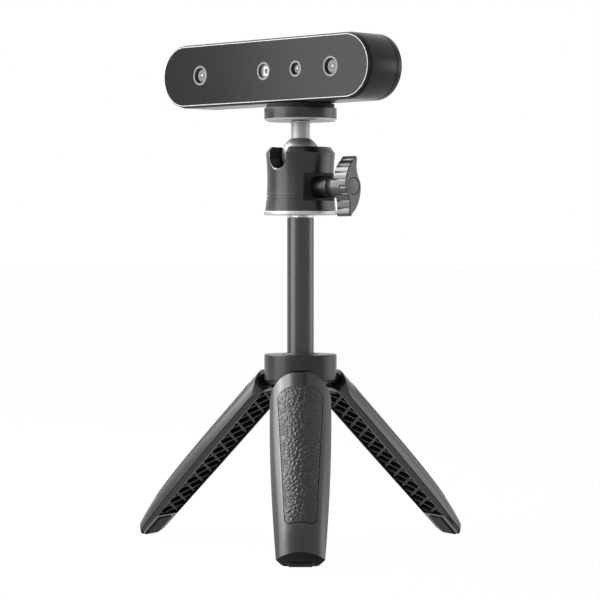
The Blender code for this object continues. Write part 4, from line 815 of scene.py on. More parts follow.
@dataclass
class Legs:
    """The three moulded legs: arched back, ribbed hollow, grip pad and rubber foot.

    Lengths run down from the hinge pin. X runs outward from the pin, Y across the leg and Z up.
    """

    workshop: Workshop
    open_angle: float = 44.4 * DEG
    length: float = 105.7 * MM
    top: float = 4.0 * MM
    corner_radius: float = 9.0 * MM
    width: float = 28.1 * MM
    toe_width: float = 21.4 * MM
    thickness: float = 11.2 * MM
    toe_thickness: float = 7.0 * MM
    taper_start: float = 20.0 * MM
    toe_bevel: float = 2.4 * MM
    toe_width_share: float = 0.77
    toe_thickness_share: float = 0.66
    side_face_share: float = 0.18
    width_power: float = 1.85
    bow_power: float = 6.4
    sections: int = 26
    back_steps: int = 28
    open_plane: float = -3.8 * MM
    lean: float = 54.5 * DEG
    wall: float = 0.2 * MM
    crown_wall: float = 3.3 * MM
    lattice_start: float = 6.7 * MM
    lattice_end: float = 92.6 * MM
    lattice_recess: float = 0.7 * MM
    shoulder_slope: float = 1.03
    crease_share: float = 0.35
    lattice_pitch: float = 6.9 * MM
    lattice_crossing: float = 10.35 * MM
    lattice_phase: float = 0.2
    rib_thickness: float = 1.2 * MM
    grip_start: float = 12.2 * MM
    grip_end: float = 89.0 * MM
    grip_top_width: float = 20.4 * MM
    grip_bottom_width: float = 13.8 * MM
    grip_top_radius: float = 4.5 * MM
    grip_bottom_radius: float = 2.9 * MM
    grip_thickness: float = 0.9 * MM
    grip_proud: float = 0.15 * MM
    foot_start: float = 94.3 * MM
    foot_width: float = 10.4 * MM
    foot_depth: float = 2.7 * MM
    foot_proud: float = 0.6 * MM
    foot_flat: float = 1.0 * MM
    pin_radius: float = 1.0 * MM
    tongue_width: float = 8.9 * MM
    knuckle_radius: float = 2.7 * MM
    tongue_nose: float = 4.4 * MM
    tongue_front: float = 4.7 * MM
    tongue_root: float = 10.0 * MM
    relief_radius: float = 5.46 * MM
    groove_depth: float = 0.3 * MM
    slot_start: float = 93.6 * MM
    slot_length: float = 4.8 * MM
    slot_width: float = 0.9 * MM
    slot_depth: float = 0.5 * MM
    foot_edge: float = 0.3 * MM
    foot_fit: float = 0.02 * MM
    groove_shares: tuple[float, float, float] = (0.86, 0.91, 0.96)
    slot_share: float = 0.56
    round_steps: int = 20
    grip_top_steps: int = 14
    grip_bottom_steps: int = 10
    toe_normal: float = -0.35
    hollow_normal: float = 0.3

    def half_width(self, s: float) -> float:
        """Half the leg's width at s, which tapers and is bevelled at the toe."""
        bevel_start = self.length - self.toe_bevel
        share = max(0.0, (min(s, bevel_start) - self.taper_start) / (bevel_start - self.taper_start))
        width = self.width - (self.width - self.toe_width) * share ** self.width_power
        if s > bevel_start:
            width *= 1 - (1 - self.toe_width_share) * (s - bevel_start) / self.toe_bevel
        return width / 2

    def crown(self, s: float) -> float:
        """Height of the arched back over the open face at s."""
        bevel_start = self.length - self.toe_bevel
        share = min(1.0, s / bevel_start)
        crown = self.thickness - (self.thickness - self.toe_thickness) * share ** self.bow_power
        if s > bevel_start:
            crown *= 1 - (1 - self.toe_thickness_share) * (s - bevel_start) / self.toe_bevel
        return crown

    def back(self, s: float) -> tuple[float, float]:
        """Radius of the arched back at s, and its centre measured from the open face."""
        half = self.half_width(s)
        rise = self.crown(s) * (1 - self.side_face_share)
        radius = (half ** 2 + rise ** 2) / (2 * rise)
        return radius, self.crown(s) - radius

    def foot(self, s: float) -> float:
        """Half the width of the open face at s."""
        return self.half_width(s) - self.crown(s) * self.side_face_share * math.tan(self.lean)

    def back_arc(self, s: float, offset: float = 0.0) -> Outline:
        """The arched back at s, moved outward by an offset."""
        radius, centre = self.back(s)
        sweep = math.asin(self.half_width(s) / radius)
        return arc((self.open_plane + centre, 0), radius + offset, sweep, -sweep, self.back_steps)

    def ring(self, s: float) -> Ring:
        """The leg's section at s, with a fine groove where each flat side meets the back.

        Args:
            s: Distance down the leg.

        Returns:
            The section's points.
        """
        back = self.back_arc(s)
        low, high = Vector((self.open_plane, self.foot(s))), Vector(back[0])
        inward = Vector((math.cos(math.pi / 2 - self.lean), -math.sin(math.pi / 2 - self.lean)))
        before, floor, after = (low.lerp(high, share) for share in self.groove_shares)
        side = [low, before, floor + inward * self.groove_depth, after]
        ring = [(p.x, p.y) for p in side] + back + [(p.x, -p.y) for p in reversed(side)]
        return [(x, y, -s) for x, y in ring]

    def hollow_ring(self, s: float) -> Ring:
        """The hollow's section at s: a flat floor on two shoulders, beside upright walls with a thin rim."""
        depth = self.crown(s) - self.crown_wall
        foot = self.foot(s) - self.wall
        crease = self.crown(s) * self.crease_share
        shoulder_y = foot - self.wall - (depth - crease) / self.shoulder_slope
        half = [(-OVERRUN, foot), (crease, foot - self.wall), (depth, shoulder_y)]
        ring = half + [(x, -y) for x, y in reversed(half)]
        return [(self.open_plane + x, y, -s) for x, y in ring]

    def skin_ring(self, s: float, offset: float, below: float) -> Ring:
        """A section that follows the back at an offset, with straight sides down to below."""
        back = self.back_arc(s, offset)
        edge = back[0][1]
        ring = [(self.open_plane - below, edge)] + back + [(self.open_plane - below, -edge)]
        return [(x, y, -s) for x, y in ring]

    def through_back(self, name: str, outline: Outline) -> Piece:
        """An outline in Y and s, extruded right through the leg."""
        reach = self.open_plane + self.thickness + OVERRUN
        return loft(name, [[(x, y, -s) for y, s in outline] for x in (self.open_plane - OVERRUN, reach)])

    @staticmethod
    def across(name: str, outline: Outline, half_width: float) -> Piece:
        """An outline in X and Z, extruded along Y to both sides."""
        return loft(name, [[(x, y, z) for x, z in outline] for y in (-half_width, half_width)])

    def arch_outline(self) -> Outline:
        """The shell's top edge with its two round corners."""
        half = self.width / 2 + OVERRUN / 2
        centre = (self.width / 2 - self.corner_radius, self.top + self.corner_radius)
        right = arc(centre, self.corner_radius, 0, -math.pi / 2, self.round_steps)
        left = [(-y, s) for y, s in reversed(right)]
        end = self.length + OVERRUN
        shoulder = centre[1] + self.corner_radius
        return [(half, end), (half, shoulder)] + right + left + [(-half, shoulder), (-half, end)]

    def grip_outline(self, margin: float) -> Outline:
        """The grip pad's outline in Y and s, larger by the margin."""
        top, bottom = self.grip_top_width / 2 + margin, self.grip_bottom_width / 2 + margin
        high, low = self.grip_start - margin, self.grip_end + margin
        top_radius, bottom_radius = self.grip_top_radius + margin, self.grip_bottom_radius + margin
        lean = math.atan2(top - bottom, low - high)
        centre = (bottom - bottom_radius, low - bottom_radius)
        right = arc(centre, bottom_radius, math.pi / 2, lean, self.grip_bottom_steps)
        centre = (top - top_radius, high + top_radius)
        right += arc(centre, top_radius, lean, -math.pi / 2, self.grip_top_steps)
        return right + [(-y, s) for y, s in reversed(right)]

    def grip_solid(self, name: str, margin: float, proud: float, depth: float) -> Piece:
        """The pad's outline between two skins that follow the back.

        Args:
            name: Name of the new object.
            margin: How much larger the outline is than the pad's.
            proud: Height of the outer skin over the back.
            depth: Depth of the inner skin under the back.

        Returns:
            The solid.
        """
        places = spread(self.grip_start - OVERRUN, self.grip_end + OVERRUN, self.sections)
        skin = loft("skin", [self.skin_ring(s, proud, 0.0) for s in places])
        solid = keep(self.through_back(name, self.grip_outline(margin)), skin)
        places = spread(self.grip_start - 2 * OVERRUN, self.grip_end + 2 * OVERRUN, self.sections)
        return cut(solid, loft("floor", [self.skin_ring(s, -depth, 2 * OVERRUN) for s in places]))

    def ribs(self, name: str, side: int) -> Piece:
        """Parallel ribs that cross the hollow at one slant.

        Args:
            name: Name of the new object.
            side: 1 or -1, for the two slants.

        Returns:
            All the ribs as one object.
        """
        slant = side * math.atan2(self.lattice_crossing, self.width - 2 * self.crown_wall)
        count = int((self.lattice_end - self.lattice_start + 2 * self.lattice_crossing) / self.lattice_pitch)
        ribs = bmesh.new()
        for index in range(count):
            step = (index + self.lattice_phase + side / 4) * self.lattice_pitch
            s = self.lattice_start - self.lattice_crossing / 2 + step
            low = (self.open_plane + self.lattice_recess, -self.width, -self.rib_thickness / 2)
            high = (self.open_plane + self.thickness + OVERRUN, self.width, self.rib_thickness / 2)
            rib = box("rib", low, high)
            move(rib, Matrix.Translation((0, 0, -s)) @ Matrix.Rotation(slant, 4, "X"))
            ribs.from_mesh(rib.data)
            bpy.data.objects.remove(rib, do_unlink=True)
        return to_piece(name, ribs)

    def tongue_outline(self) -> Outline:
        """The hinge tongue's side outline, round the pin."""
        end = math.pi / 2 - self.open_angle
        outline = arc((0, 0), self.knuckle_radius, math.pi, end, self.round_steps)
        cosine, sine = math.cos(self.open_angle), math.sin(self.open_angle)
        outline.append((
            self.tongue_nose * cosine + self.knuckle_radius * sine,
            -self.tongue_nose * sine + self.knuckle_radius * cosine,
        ))
        outline += [(self.tongue_front, -self.top - GAP), (self.tongue_front, -self.tongue_root)]
        return outline + [(-self.knuckle_radius, -self.tongue_root)]

    def foot_outline(self, margin: float = 0.0) -> Outline:
        """The rubber foot's side outline, with the flat that lies on the floor."""
        inner, outer = self.open_plane - self.foot_proud, self.open_plane + self.foot_depth + margin
        end, start = self.length + self.foot_proud, self.foot_start - margin
        flat_x = self.foot_flat * math.cos(self.open_angle)
        flat_s = self.foot_flat * math.sin(self.open_angle)
        sole = [(inner, -end + flat_s), (inner + flat_x, -end)]
        return [(inner, -start), *sole, (outer, -end), (outer, -start)]

    def pin_line(self, name: str, radius: float, steps: int = Steps.MEDIUM) -> Piece:
        """A bar along the hinge axis, used as a cutter."""
        bar = cylinder(name, radius, -self.width, self.width, steps)
        return move(bar, Matrix.Rotation(math.pi / 2, 4, "X"))

    def side_slot(self) -> Piece:
        """The small moulding slot in one flat side, near the foot."""
        s = self.slot_start + self.slot_length / 2
        low = Vector((self.open_plane, -self.foot(s)))
        high = Vector((self.open_plane + self.crown(s) * self.side_face_share, -self.half_width(s)))
        middle = low.lerp(high, self.slot_share)
        along = (high - low).normalized()
        block = box(
            "side_slot", (-self.slot_width / 2, -self.slot_depth, -self.slot_length / 2),
            (self.slot_width / 2, self.slot_depth, self.slot_length / 2),
        )
        turn = Matrix.Rotation(math.atan2(along.y, along.x), 4, "Z")
        return move(block, Matrix.Translation((middle.x, middle.y, -s)) @ turn)

    def shell(self) -> Piece:
        """One moulded leg."""
        places = spread(self.top / 2, self.length - self.toe_bevel, self.sections) + [self.length]
        shell = loft("leg_shell", [self.ring(s) for s in places])
        keep(shell, self.through_back("arch", self.arch_outline()))
        cut(shell, self.pin_line("relief", self.relief_radius + GAP))
        hollow = loft("hollow", [self.hollow_ring(s) for s in (self.lattice_start, self.lattice_end)])
        cut(shell, cut(hollow, self.ribs("ribs_a", 1), self.ribs("ribs_b", -1)))
        pocket = [
            (x - OVERRUN * (x < self.open_plane), z - OVERRUN * (z < -self.length))
            for x, z in self.foot_outline(GAP)
        ]
        cut(shell, self.across("foot_pocket", pocket, self.foot_width / 2 + self.foot_fit))
        cut(shell, self.grip_solid("recess", GAP, OVERRUN, self.grip_thickness - self.grip_proud + GAP))
        join(shell, self.across("tongue", self.tongue_outline(), self.tongue_width / 2))
        cut(shell, self.pin_line("pin_bore", self.pin_radius + GAP, Steps.SMALL))
        return cut(shell, self.side_slot())

    def on_dull(self, face: bpy.types.MeshPolygon) -> bool:
        """Tells if a face of the shell is inside its ribbed hollow or on the toe's bevel."""
        x, y, s = face.center.x, face.center.y, -face.center.z
        if s > self.length - self.toe_bevel:
            return face.normal.z < self.toe_normal
        along = self.lattice_start - OVERRUN < s < self.lattice_end + OVERRUN
        deep = x > self.open_plane + self.lattice_recess / 2
        return along and deep and abs(y) < self.foot(s) and face.normal.x < self.hollow_normal

    def build(self) -> None:
        """Builds one leg's pieces and repeats them on the three hinges."""
        shell = self.shell()
        pad = self.grip_solid("grip_pad", 0.0, self.grip_proud, self.grip_thickness - self.grip_proud)
        foot = self.across("foot_pad", self.foot_outline(), self.foot_width / 2)
        for side in Side:
            hinge = Matrix.Translation(self.workshop.joint_place(f"leg_fold_{side.label}"))
            place = hinge @ around(side.azimuth) @ Matrix.Rotation(-self.open_angle, 4, "Y")
            body = f"leg_{side.label}"
            for name, source, finish, edge, smooth in (
                ("leg_shell", shell, LEG_BLACK, 0.0, 30.0),
                ("grip_pad", pad, LEATHER, 0.0, 40.0),
                ("foot_pad", foot, RUBBER, self.foot_edge, 30.0),
            ):
                node = f"{name}_{side.label}"
                piece = copy_of(f"{name}_{side.label}_look", source)
                self.workshop.dress(piece, body, finish, (node,), place, edge, smooth)
                if source is shell:
                    add_material(piece, self.workshop.material(LEG_INSIDE), self.on_dull)
        for source in (shell, pad, foot):
            bpy.data.objects.remove(source, do_unlink=True)


@dataclass
class Hub:
    """The hub that carries the three hinges and the column, with its retainer plate underneath."""

    workshop: Workshop
    radius: float = 16.85 * MM
    height: float = 13.0 * MM
    below_pin: float = 3.0 * MM
    top_fillet: float = 0.8 * MM
    pin_axis_radius: float = 11.8 * MM
    pin_radius: float = 1.0 * MM
    pin_length: float = 16.4 * MM
    notch_width: float = 8.9 * MM
    knuckle_radius: float = 2.7 * MM
    retainer_thickness: float = 0.9 * MM
    retainer_chamfer: float = 0.9 * MM
    retainer_hole: float = 7.6 * MM
    saddle_width: float = 2.0 * MM
    screw_circle: float = 12.2 * MM
    screw_head: float = 1.7 * MM
    screw_radius: float = 0.9 * MM
    screw_length: float = 6.5 * MM
    socket_radius: float = 0.85 * MM
    socket_depth: float = 0.6 * MM
    bush_radius: float = 8.3 * MM
    bush_depth: float = 2.2 * MM
    bush_proud: float = 0.5 * MM
    column_radius: float = 6.25 * MM
    stop_radius: float = 7.0 * MM
    stop_top: float = 2.7 * MM
    bush_edges: tuple[float, float] = (0.3 * MM, 0.2 * MM)

    def notch(self, azimuth: float) -> Piece:
        """The slot that a leg's tongue swings in, with heights from the hub's bottom."""
        half = self.notch_width / 2 + GAP
        low = (self.pin_axis_radius - self.knuckle_radius - GAP, -half, -OVERRUN)
        high = (self.radius + OVERRUN, half, self.below_pin + self.knuckle_radius + GAP)
        return move(box("notch", low, high), around(azimuth))

    def pin_slot(self, azimuth: float) -> Piece:
        """The round-topped slot that a pin is laid into from below."""
        radius = self.pin_radius + GAP
        outline = arc((self.pin_axis_radius, self.below_pin), radius, 0, math.pi, 10)
        outline += [(self.pin_axis_radius - radius, -OVERRUN), (self.pin_axis_radius + radius, -OVERRUN)]
        return move(Legs.across("pin_slot", outline, self.pin_length / 2 + GAP), around(azimuth))

    def at_screw(self, piece: Piece, azimuth: float) -> Piece:
        """Moves a piece to a retainer screw's place."""
        turned = azimuth + math.pi / 3
        place = (self.screw_circle * math.cos(turned), self.screw_circle * math.sin(turned), 0)
        return move(piece, Matrix.Translation(place))

    def build(self) -> None:
        """Builds the hub's pieces, with heights from its bottom."""
        place = self.workshop.on_column(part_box("hub_retainer")[0][2])
        dress = self.workshop.dress
        bottom = self.retainer_thickness + GAP
        bush_bottom = self.height - self.bush_depth
        inner = self.column_radius + GAP
        profile = [(self.stop_radius + GAP, bottom), (self.radius, bottom), (self.radius, self.height)]
        profile += [(self.bush_radius + GAP, self.height), (self.bush_radius + GAP, bush_bottom)]
        profile += [(inner, bush_bottom), (inner, self.stop_top), (self.stop_radius + GAP, self.stop_top)]
        rounded = round_corners(profile, {2: self.top_fillet, 3: self.top_fillet / 3}, 5)
        hub = revolve("hub_look", rounded)
        for side in Side:
            cut(hub, self.notch(side.azimuth), self.pin_slot(side.azimuth))
            deep = self.screw_length + GAP
            hole = cylinder("hole", self.screw_radius + GAP, -OVERRUN, deep, Steps.SMALL)
            cut(hub, self.at_screw(hole, side.azimuth))
        dress(hub, "hub", HUB_BLACK, ("hub",), place, slot="head_black")

        profile = [(self.retainer_hole, 0), (self.radius - self.retainer_chamfer, 0)]
        profile += [(self.radius, self.retainer_thickness), (self.retainer_hole, self.retainer_thickness)]
        retainer = revolve("hub_retainer_look", profile)
        for side in Side:
            half, length = self.saddle_width / 2, self.pin_length / 2
            top = self.below_pin - self.pin_radius - GAP
            low = (self.pin_axis_radius - half, -length, self.retainer_thickness / 2)
            saddle = box("saddle", low, (self.pin_axis_radius + half, length, top))
            join(retainer, move(saddle, around(side.azimuth)))
            cut(retainer, self.notch(side.azimuth))
            hole = cylinder("hole", self.screw_head + GAP, -OVERRUN, self.height, Steps.SMALL)
            cut(retainer, self.at_screw(hole, side.azimuth))
        dress(retainer, "hub", LEG_BLACK, ("hub_retainer",), place)

        for side in Side:
            screw = socket_screw(
                f"retainer_screw_{side.label}_look", self.screw_head, self.retainer_thickness,
                self.screw_radius, self.screw_length, self.socket_radius, self.socket_depth,
            )
            self.at_screw(screw, side.azimuth)
            dress(screw, "hub", STEEL, (f"retainer_screw_{side.label}",), place)

        profile = [(inner, bush_bottom + GAP), (self.bush_radius, bush_bottom + GAP)]
        top = self.height + self.bush_proud
        profile += [(self.bush_radius, top), (inner, top)]
        outer_edge, inner_edge = self.bush_edges
        bush = revolve("column_bush_look", round_corners(profile, {2: outer_edge, 3: inner_edge}))
        dress(bush, "hub", KNOB_BLACK, ("column_bush",), place)
        self.workshop.carry_over(STEEL, "hinge_pin_front", "hinge_pin_left", "hinge_pin_right")


def socket_screw(
    name: str, head: float, head_height: float, shank: float, length: float, socket: float,
    socket_depth: float,
) -> Piece:
    """A screw with a six-sided socket, head down at zero height.

    Args:
        name: Name of the new object.
        head: Radius of the head.
        head_height: Height of the head.
        shank: Radius of the shank.
        length: Whole length.
        socket: Radius of the socket's corners.
        socket_depth: Depth of the socket.

    Returns:
        The screw.
    """
    profile = [(0, 0), (head, 0), (head, head_height), (shank, head_height), (shank, length), (0, length)]
    screw = revolve(name, round_corners(profile, {1: head_height / 4}), Steps.SMALL)
    return cut(screw, cylinder("socket", socket, -OVERRUN, socket_depth, 6))


@dataclass
class Column:
    """The tube that slides through the hub, its stop, and the bright ring that the head turns on."""

    workshop: Workshop
    radius: float = 6.25 * MM
    wall: float = 0.95 * MM
    stop_radius: float = 7.0 * MM
    stop_thickness: float = 2.0 * MM
    stop_plug: float = 8.0 * MM
    stud_radius: float = 3.0 * MM
    ring_radius: float = 17.0 * MM
    ring_height: float = 1.8 * MM
    edge: float = 0.25 * MM

    def build(self) -> None:
        """Builds the column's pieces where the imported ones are."""
        dress = self.workshop.dress
        low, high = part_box("column_tube")
        inner = self.radius - self.wall
        top = high[2] - low[2]
        profile = [(self.radius, 0), (self.radius, top), (inner, top), (inner, 0)]
        tube = revolve("column_tube_look", profile)
        place = self.workshop.on_column(low[2])
        dress(tube, "column", COLUMN_BLACK, ("column_tube",), place, slot="head_black")

        low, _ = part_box("column_stop")
        plug, top = inner - GAP, self.stop_thickness
        profile = [(0, 0), (self.stop_radius, 0), (self.stop_radius, top), (plug, top)]
        profile += [(plug, top + self.stop_plug), (0, top + self.stop_plug)]
        stop = revolve("column_stop_look", round_corners(profile, {1: self.edge * 2}), Steps.MEDIUM)
        dress(stop, "column", KNOB_BLACK, ("column_stop",), self.workshop.on_column(low[2]))

        low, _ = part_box("base_ring")
        hole, top = self.stud_radius + GAP, self.ring_height
        profile = [(self.ring_radius, 0), (self.ring_radius, top), (hole, top), (hole, 0)]
        ring = revolve("base_ring_look", round_corners(profile, {0: self.edge, 1: self.edge}))
        dress(ring, "column", BRIGHT_RING, ("base_ring",), self.workshop.on_column(low[2]))
        self.workshop.carry_over(STEEL, "column_plug", "pan_nut")


@dataclass
class BallHead:
    """The socket body with its ball and stem.

    Heights run up from the housing's bottom.
    """

    workshop: Workshop
    azimuth: float = -135.0 * DEG
    knob_turn: float = 90.0 * DEG
    height: float = 29.3 * MM
    base_radius: float = 16.5 * MM
    waist_radius: float = 15.46 * MM
    shoulder_radius: float = 16.1 * MM
    rim_radius: float = 14.1 * MM
    waist_height: float = 14.2 * MM
    shoulder_height: float = 26.6 * MM
    ball_radius: float = 9.0 * MM
    ball_height: float = 25.6 * MM
    slot_width: float = 10.8 * MM
    slot_bevel: float = 0.3 * MM
    slot_depth: float = 10.1 * MM
    stem_radius: float = 4.3 * MM
    collar_radius: float = 4.7 * MM
    collar_height: float = 0.7 * MM
    plate_above_ball: float = 15.8 * MM
    stud_radius: float = 3.0 * MM
    stud_down: float = 8.5 * MM
    knob_height: float = 10.8 * MM
    flat_radius: float = 11.9 * MM
    flat_width: float = 21.4 * MM
    flat_height: float = 12.8 * MM
    flat_corner: float = 1.0 * MM
    boss_radius: float = 5.15 * MM
    boss_end: float = 21.0 * MM
    boss_root: float = 10.0 * MM
    screw_radius: float = 2.0 * MM
    line_heights: tuple[float, float] = (5.35 * MM, 6.75 * MM)
    line_width: float = 0.6 * MM
    line_depth: float = 0.45 * MM
    line_reach: float = 57.5 * DEG
    wall_steps: int = 24
    edge: float = 0.22 * MM
    bevel_reach: float = 3.0 * MM
    bevel_normals: tuple[float, float] = (0.35, 0.75)
    flat_normal: float = 0.99

    @property
    def knob_azimuth(self) -> float:
        """The direction that the knob points to, in radians."""
        return self.azimuth + self.knob_turn

    def wall(self, height: float) -> float:
        """The outer wall's radius at a height, drawn in at the waist."""
        if height < self.waist_height:
            reach = (self.waist_height - height) / self.waist_height
            return self.waist_radius + (self.base_radius - self.waist_radius) * reach ** 2
        reach = (height - self.waist_height) / (self.shoulder_height - self.waist_height)
        return self.waist_radius + (self.shoulder_radius - self.waist_radius) * reach ** 2

    def slot_outline(self, half_width: float, reach: float) -> Outline:
        """A U-shaped outline across the slot, with its round end down."""
        bottom = self.height - self.slot_depth + self.slot_width / 2
        outline = arc((0, bottom), half_width, -math.pi, 0, 32)
        return outline + [(half_width, self.height + reach), (-half_width, self.height + reach)]

    def slot_cutter(self) -> Piece:
        """The stem slot, widened by a bevel where it leaves the wall."""
        half, outer = self.slot_width / 2, self.shoulder_radius
        wide = half + self.slot_bevel + OVERRUN
        places = ((0.0, half), (outer - self.slot_bevel - OVERRUN / 2, half), (outer + OVERRUN, wide))
        rings = [[(x, y, z) for y, z in self.slot_outline(half, OVERRUN)] for x, half in places]
        return loft("slot", rings)

    def on_slot_bevel(self, face: bpy.types.MeshPolygon) -> bool:
        """Tells if a face of the housing is the bright cut bevel round the stem slot."""
        along = Vector((math.cos(self.azimuth), math.sin(self.azimuth), 0))
        low = self.height - self.slot_depth - 2 * self.slot_bevel
        outside = face.center.dot(along) > self.shoulder_radius - self.bevel_reach
        level = low < face.center.z < self.shoulder_height
        least, most = self.bevel_normals
        return outside and level and least < face.normal.dot(along) < most

    def on_flat(self, face: bpy.types.MeshPolygon) -> bool:
        """Tells if a face of the housing is in the flat recess behind the knob."""
        along = Vector((math.cos(self.knob_azimuth), math.sin(self.knob_azimuth), 0))
        faces_it = face.normal.dot(along) > self.flat_normal
        return faces_it and face.center.dot(along) < self.flat_radius + OVERRUN

    def toward_knob(self, piece: Piece) -> Piece:
        """Turns a piece made along Z to lie on the knob's axis."""
        turn = around(self.knob_azimuth) @ Matrix.Rotation(math.pi / 2, 4, "Y")
        return move(piece, Matrix.Translation((0, 0, self.knob_height)) @ turn)

    def engraved_line(self, height: float) -> Piece:
        """A fine line cut round the wall, clear of the knob's flat."""
        inner = self.wall(height) - self.line_depth
        outer = self.base_radius + OVERRUN
        half = self.line_width / 2
        profile = [(outer, -half), (outer, half), (inner, half), (inner, -half)]
        ring = move(revolve("line", profile), Matrix.Translation((0, 0, height)))
        start, end = self.knob_azimuth - self.line_reach, self.knob_azimuth + self.line_reach
        sector = [(0, 0)] + arc((0, 0), 3 * outer, start, end, 8)
        return cut(ring, prism("sector", sector, height - OVERRUN, height + OVERRUN))

    def housing(self) -> Piece:
        """The socket body: waisted wall, ball bore, slot, knob flat, boss and engraved lines."""
        bore = self.ball_radius + GAP
        heights = spread(0, self.shoulder_height, self.wall_steps)
        rim = math.acos((self.height - self.ball_height) / bore)
        profile = [(self.wall(height), height) for height in heights]
        profile += [(self.rim_radius, self.height)]
        profile += arc((0, self.ball_height), bore, math.pi / 2 - rim, 0, 10) + [(bore, 0)]
        rounded = {self.wall_steps - 1: self.edge * 2, self.wall_steps: self.edge}
        body = revolve("head_housing_look", round_corners(profile, rounded))
        cut(body, move(self.slot_cutter(), around(self.azimuth)))
        outline = rounded_rectangle(self.flat_height, self.flat_width, self.flat_corner)
        cut(body, self.toward_knob(prism("flat", outline, self.flat_radius, self.base_radius + OVERRUN)))
        join(body, self.toward_knob(cylinder("boss", self.boss_radius, self.boss_root, self.boss_end)))
        hole = cylinder("hole", self.screw_radius + GAP, bore / 2, self.boss_end + OVERRUN, Steps.SMALL)
        cut(body, self.toward_knob(hole))
        return cut(body, *(self.engraved_line(height) for height in self.line_heights))

    def ball(self) -> Piece:
        """Ball and stem turned in one piece, with heights from the ball's middle."""
        neck = math.asin(self.stem_radius / self.ball_radius)
        ball = arc((0, 0), self.ball_radius, -math.pi / 2, math.pi / 2 - neck, 44)
        ball[0] = (0, ball[0][1])
        top = self.plate_above_ball - GAP
        collar, socket = top - self.collar_height, self.stud_radius + GAP
        floor = top - self.stud_down - GAP
        profile = ball + [(self.stem_radius, collar), (self.collar_radius, collar)]
        profile += [(self.collar_radius, top), (socket, top), (socket, floor), (0, floor)]
        return revolve("ball_stem_look", round_corners(profile, {len(ball) + 1: self.edge}))

    def build(self) -> None:
        """Builds the head's pieces."""
        dress = self.workshop.dress
        place = self.workshop.on_column(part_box("head_housing")[0][2])
        housing = dress(self.housing(), "head", HEAD_BLACK, ("head_housing",), place, 0.0, 28.0)
        add_material(housing, self.workshop.material(CUT_EDGE), self.on_slot_bevel)
        add_material(housing, self.workshop.material(HEAD_RECESS), self.on_flat)
        place = self.workshop.on_column(self.workshop.joint_place("ball_tilt").z)
        dress(self.ball(), "ball", BALL_STEEL, ("ball_stem",), place)
        self.workshop.carry_over(STEEL, "head_base")
        self.workshop.carry_over(CUP_PLASTIC, "friction_cup")


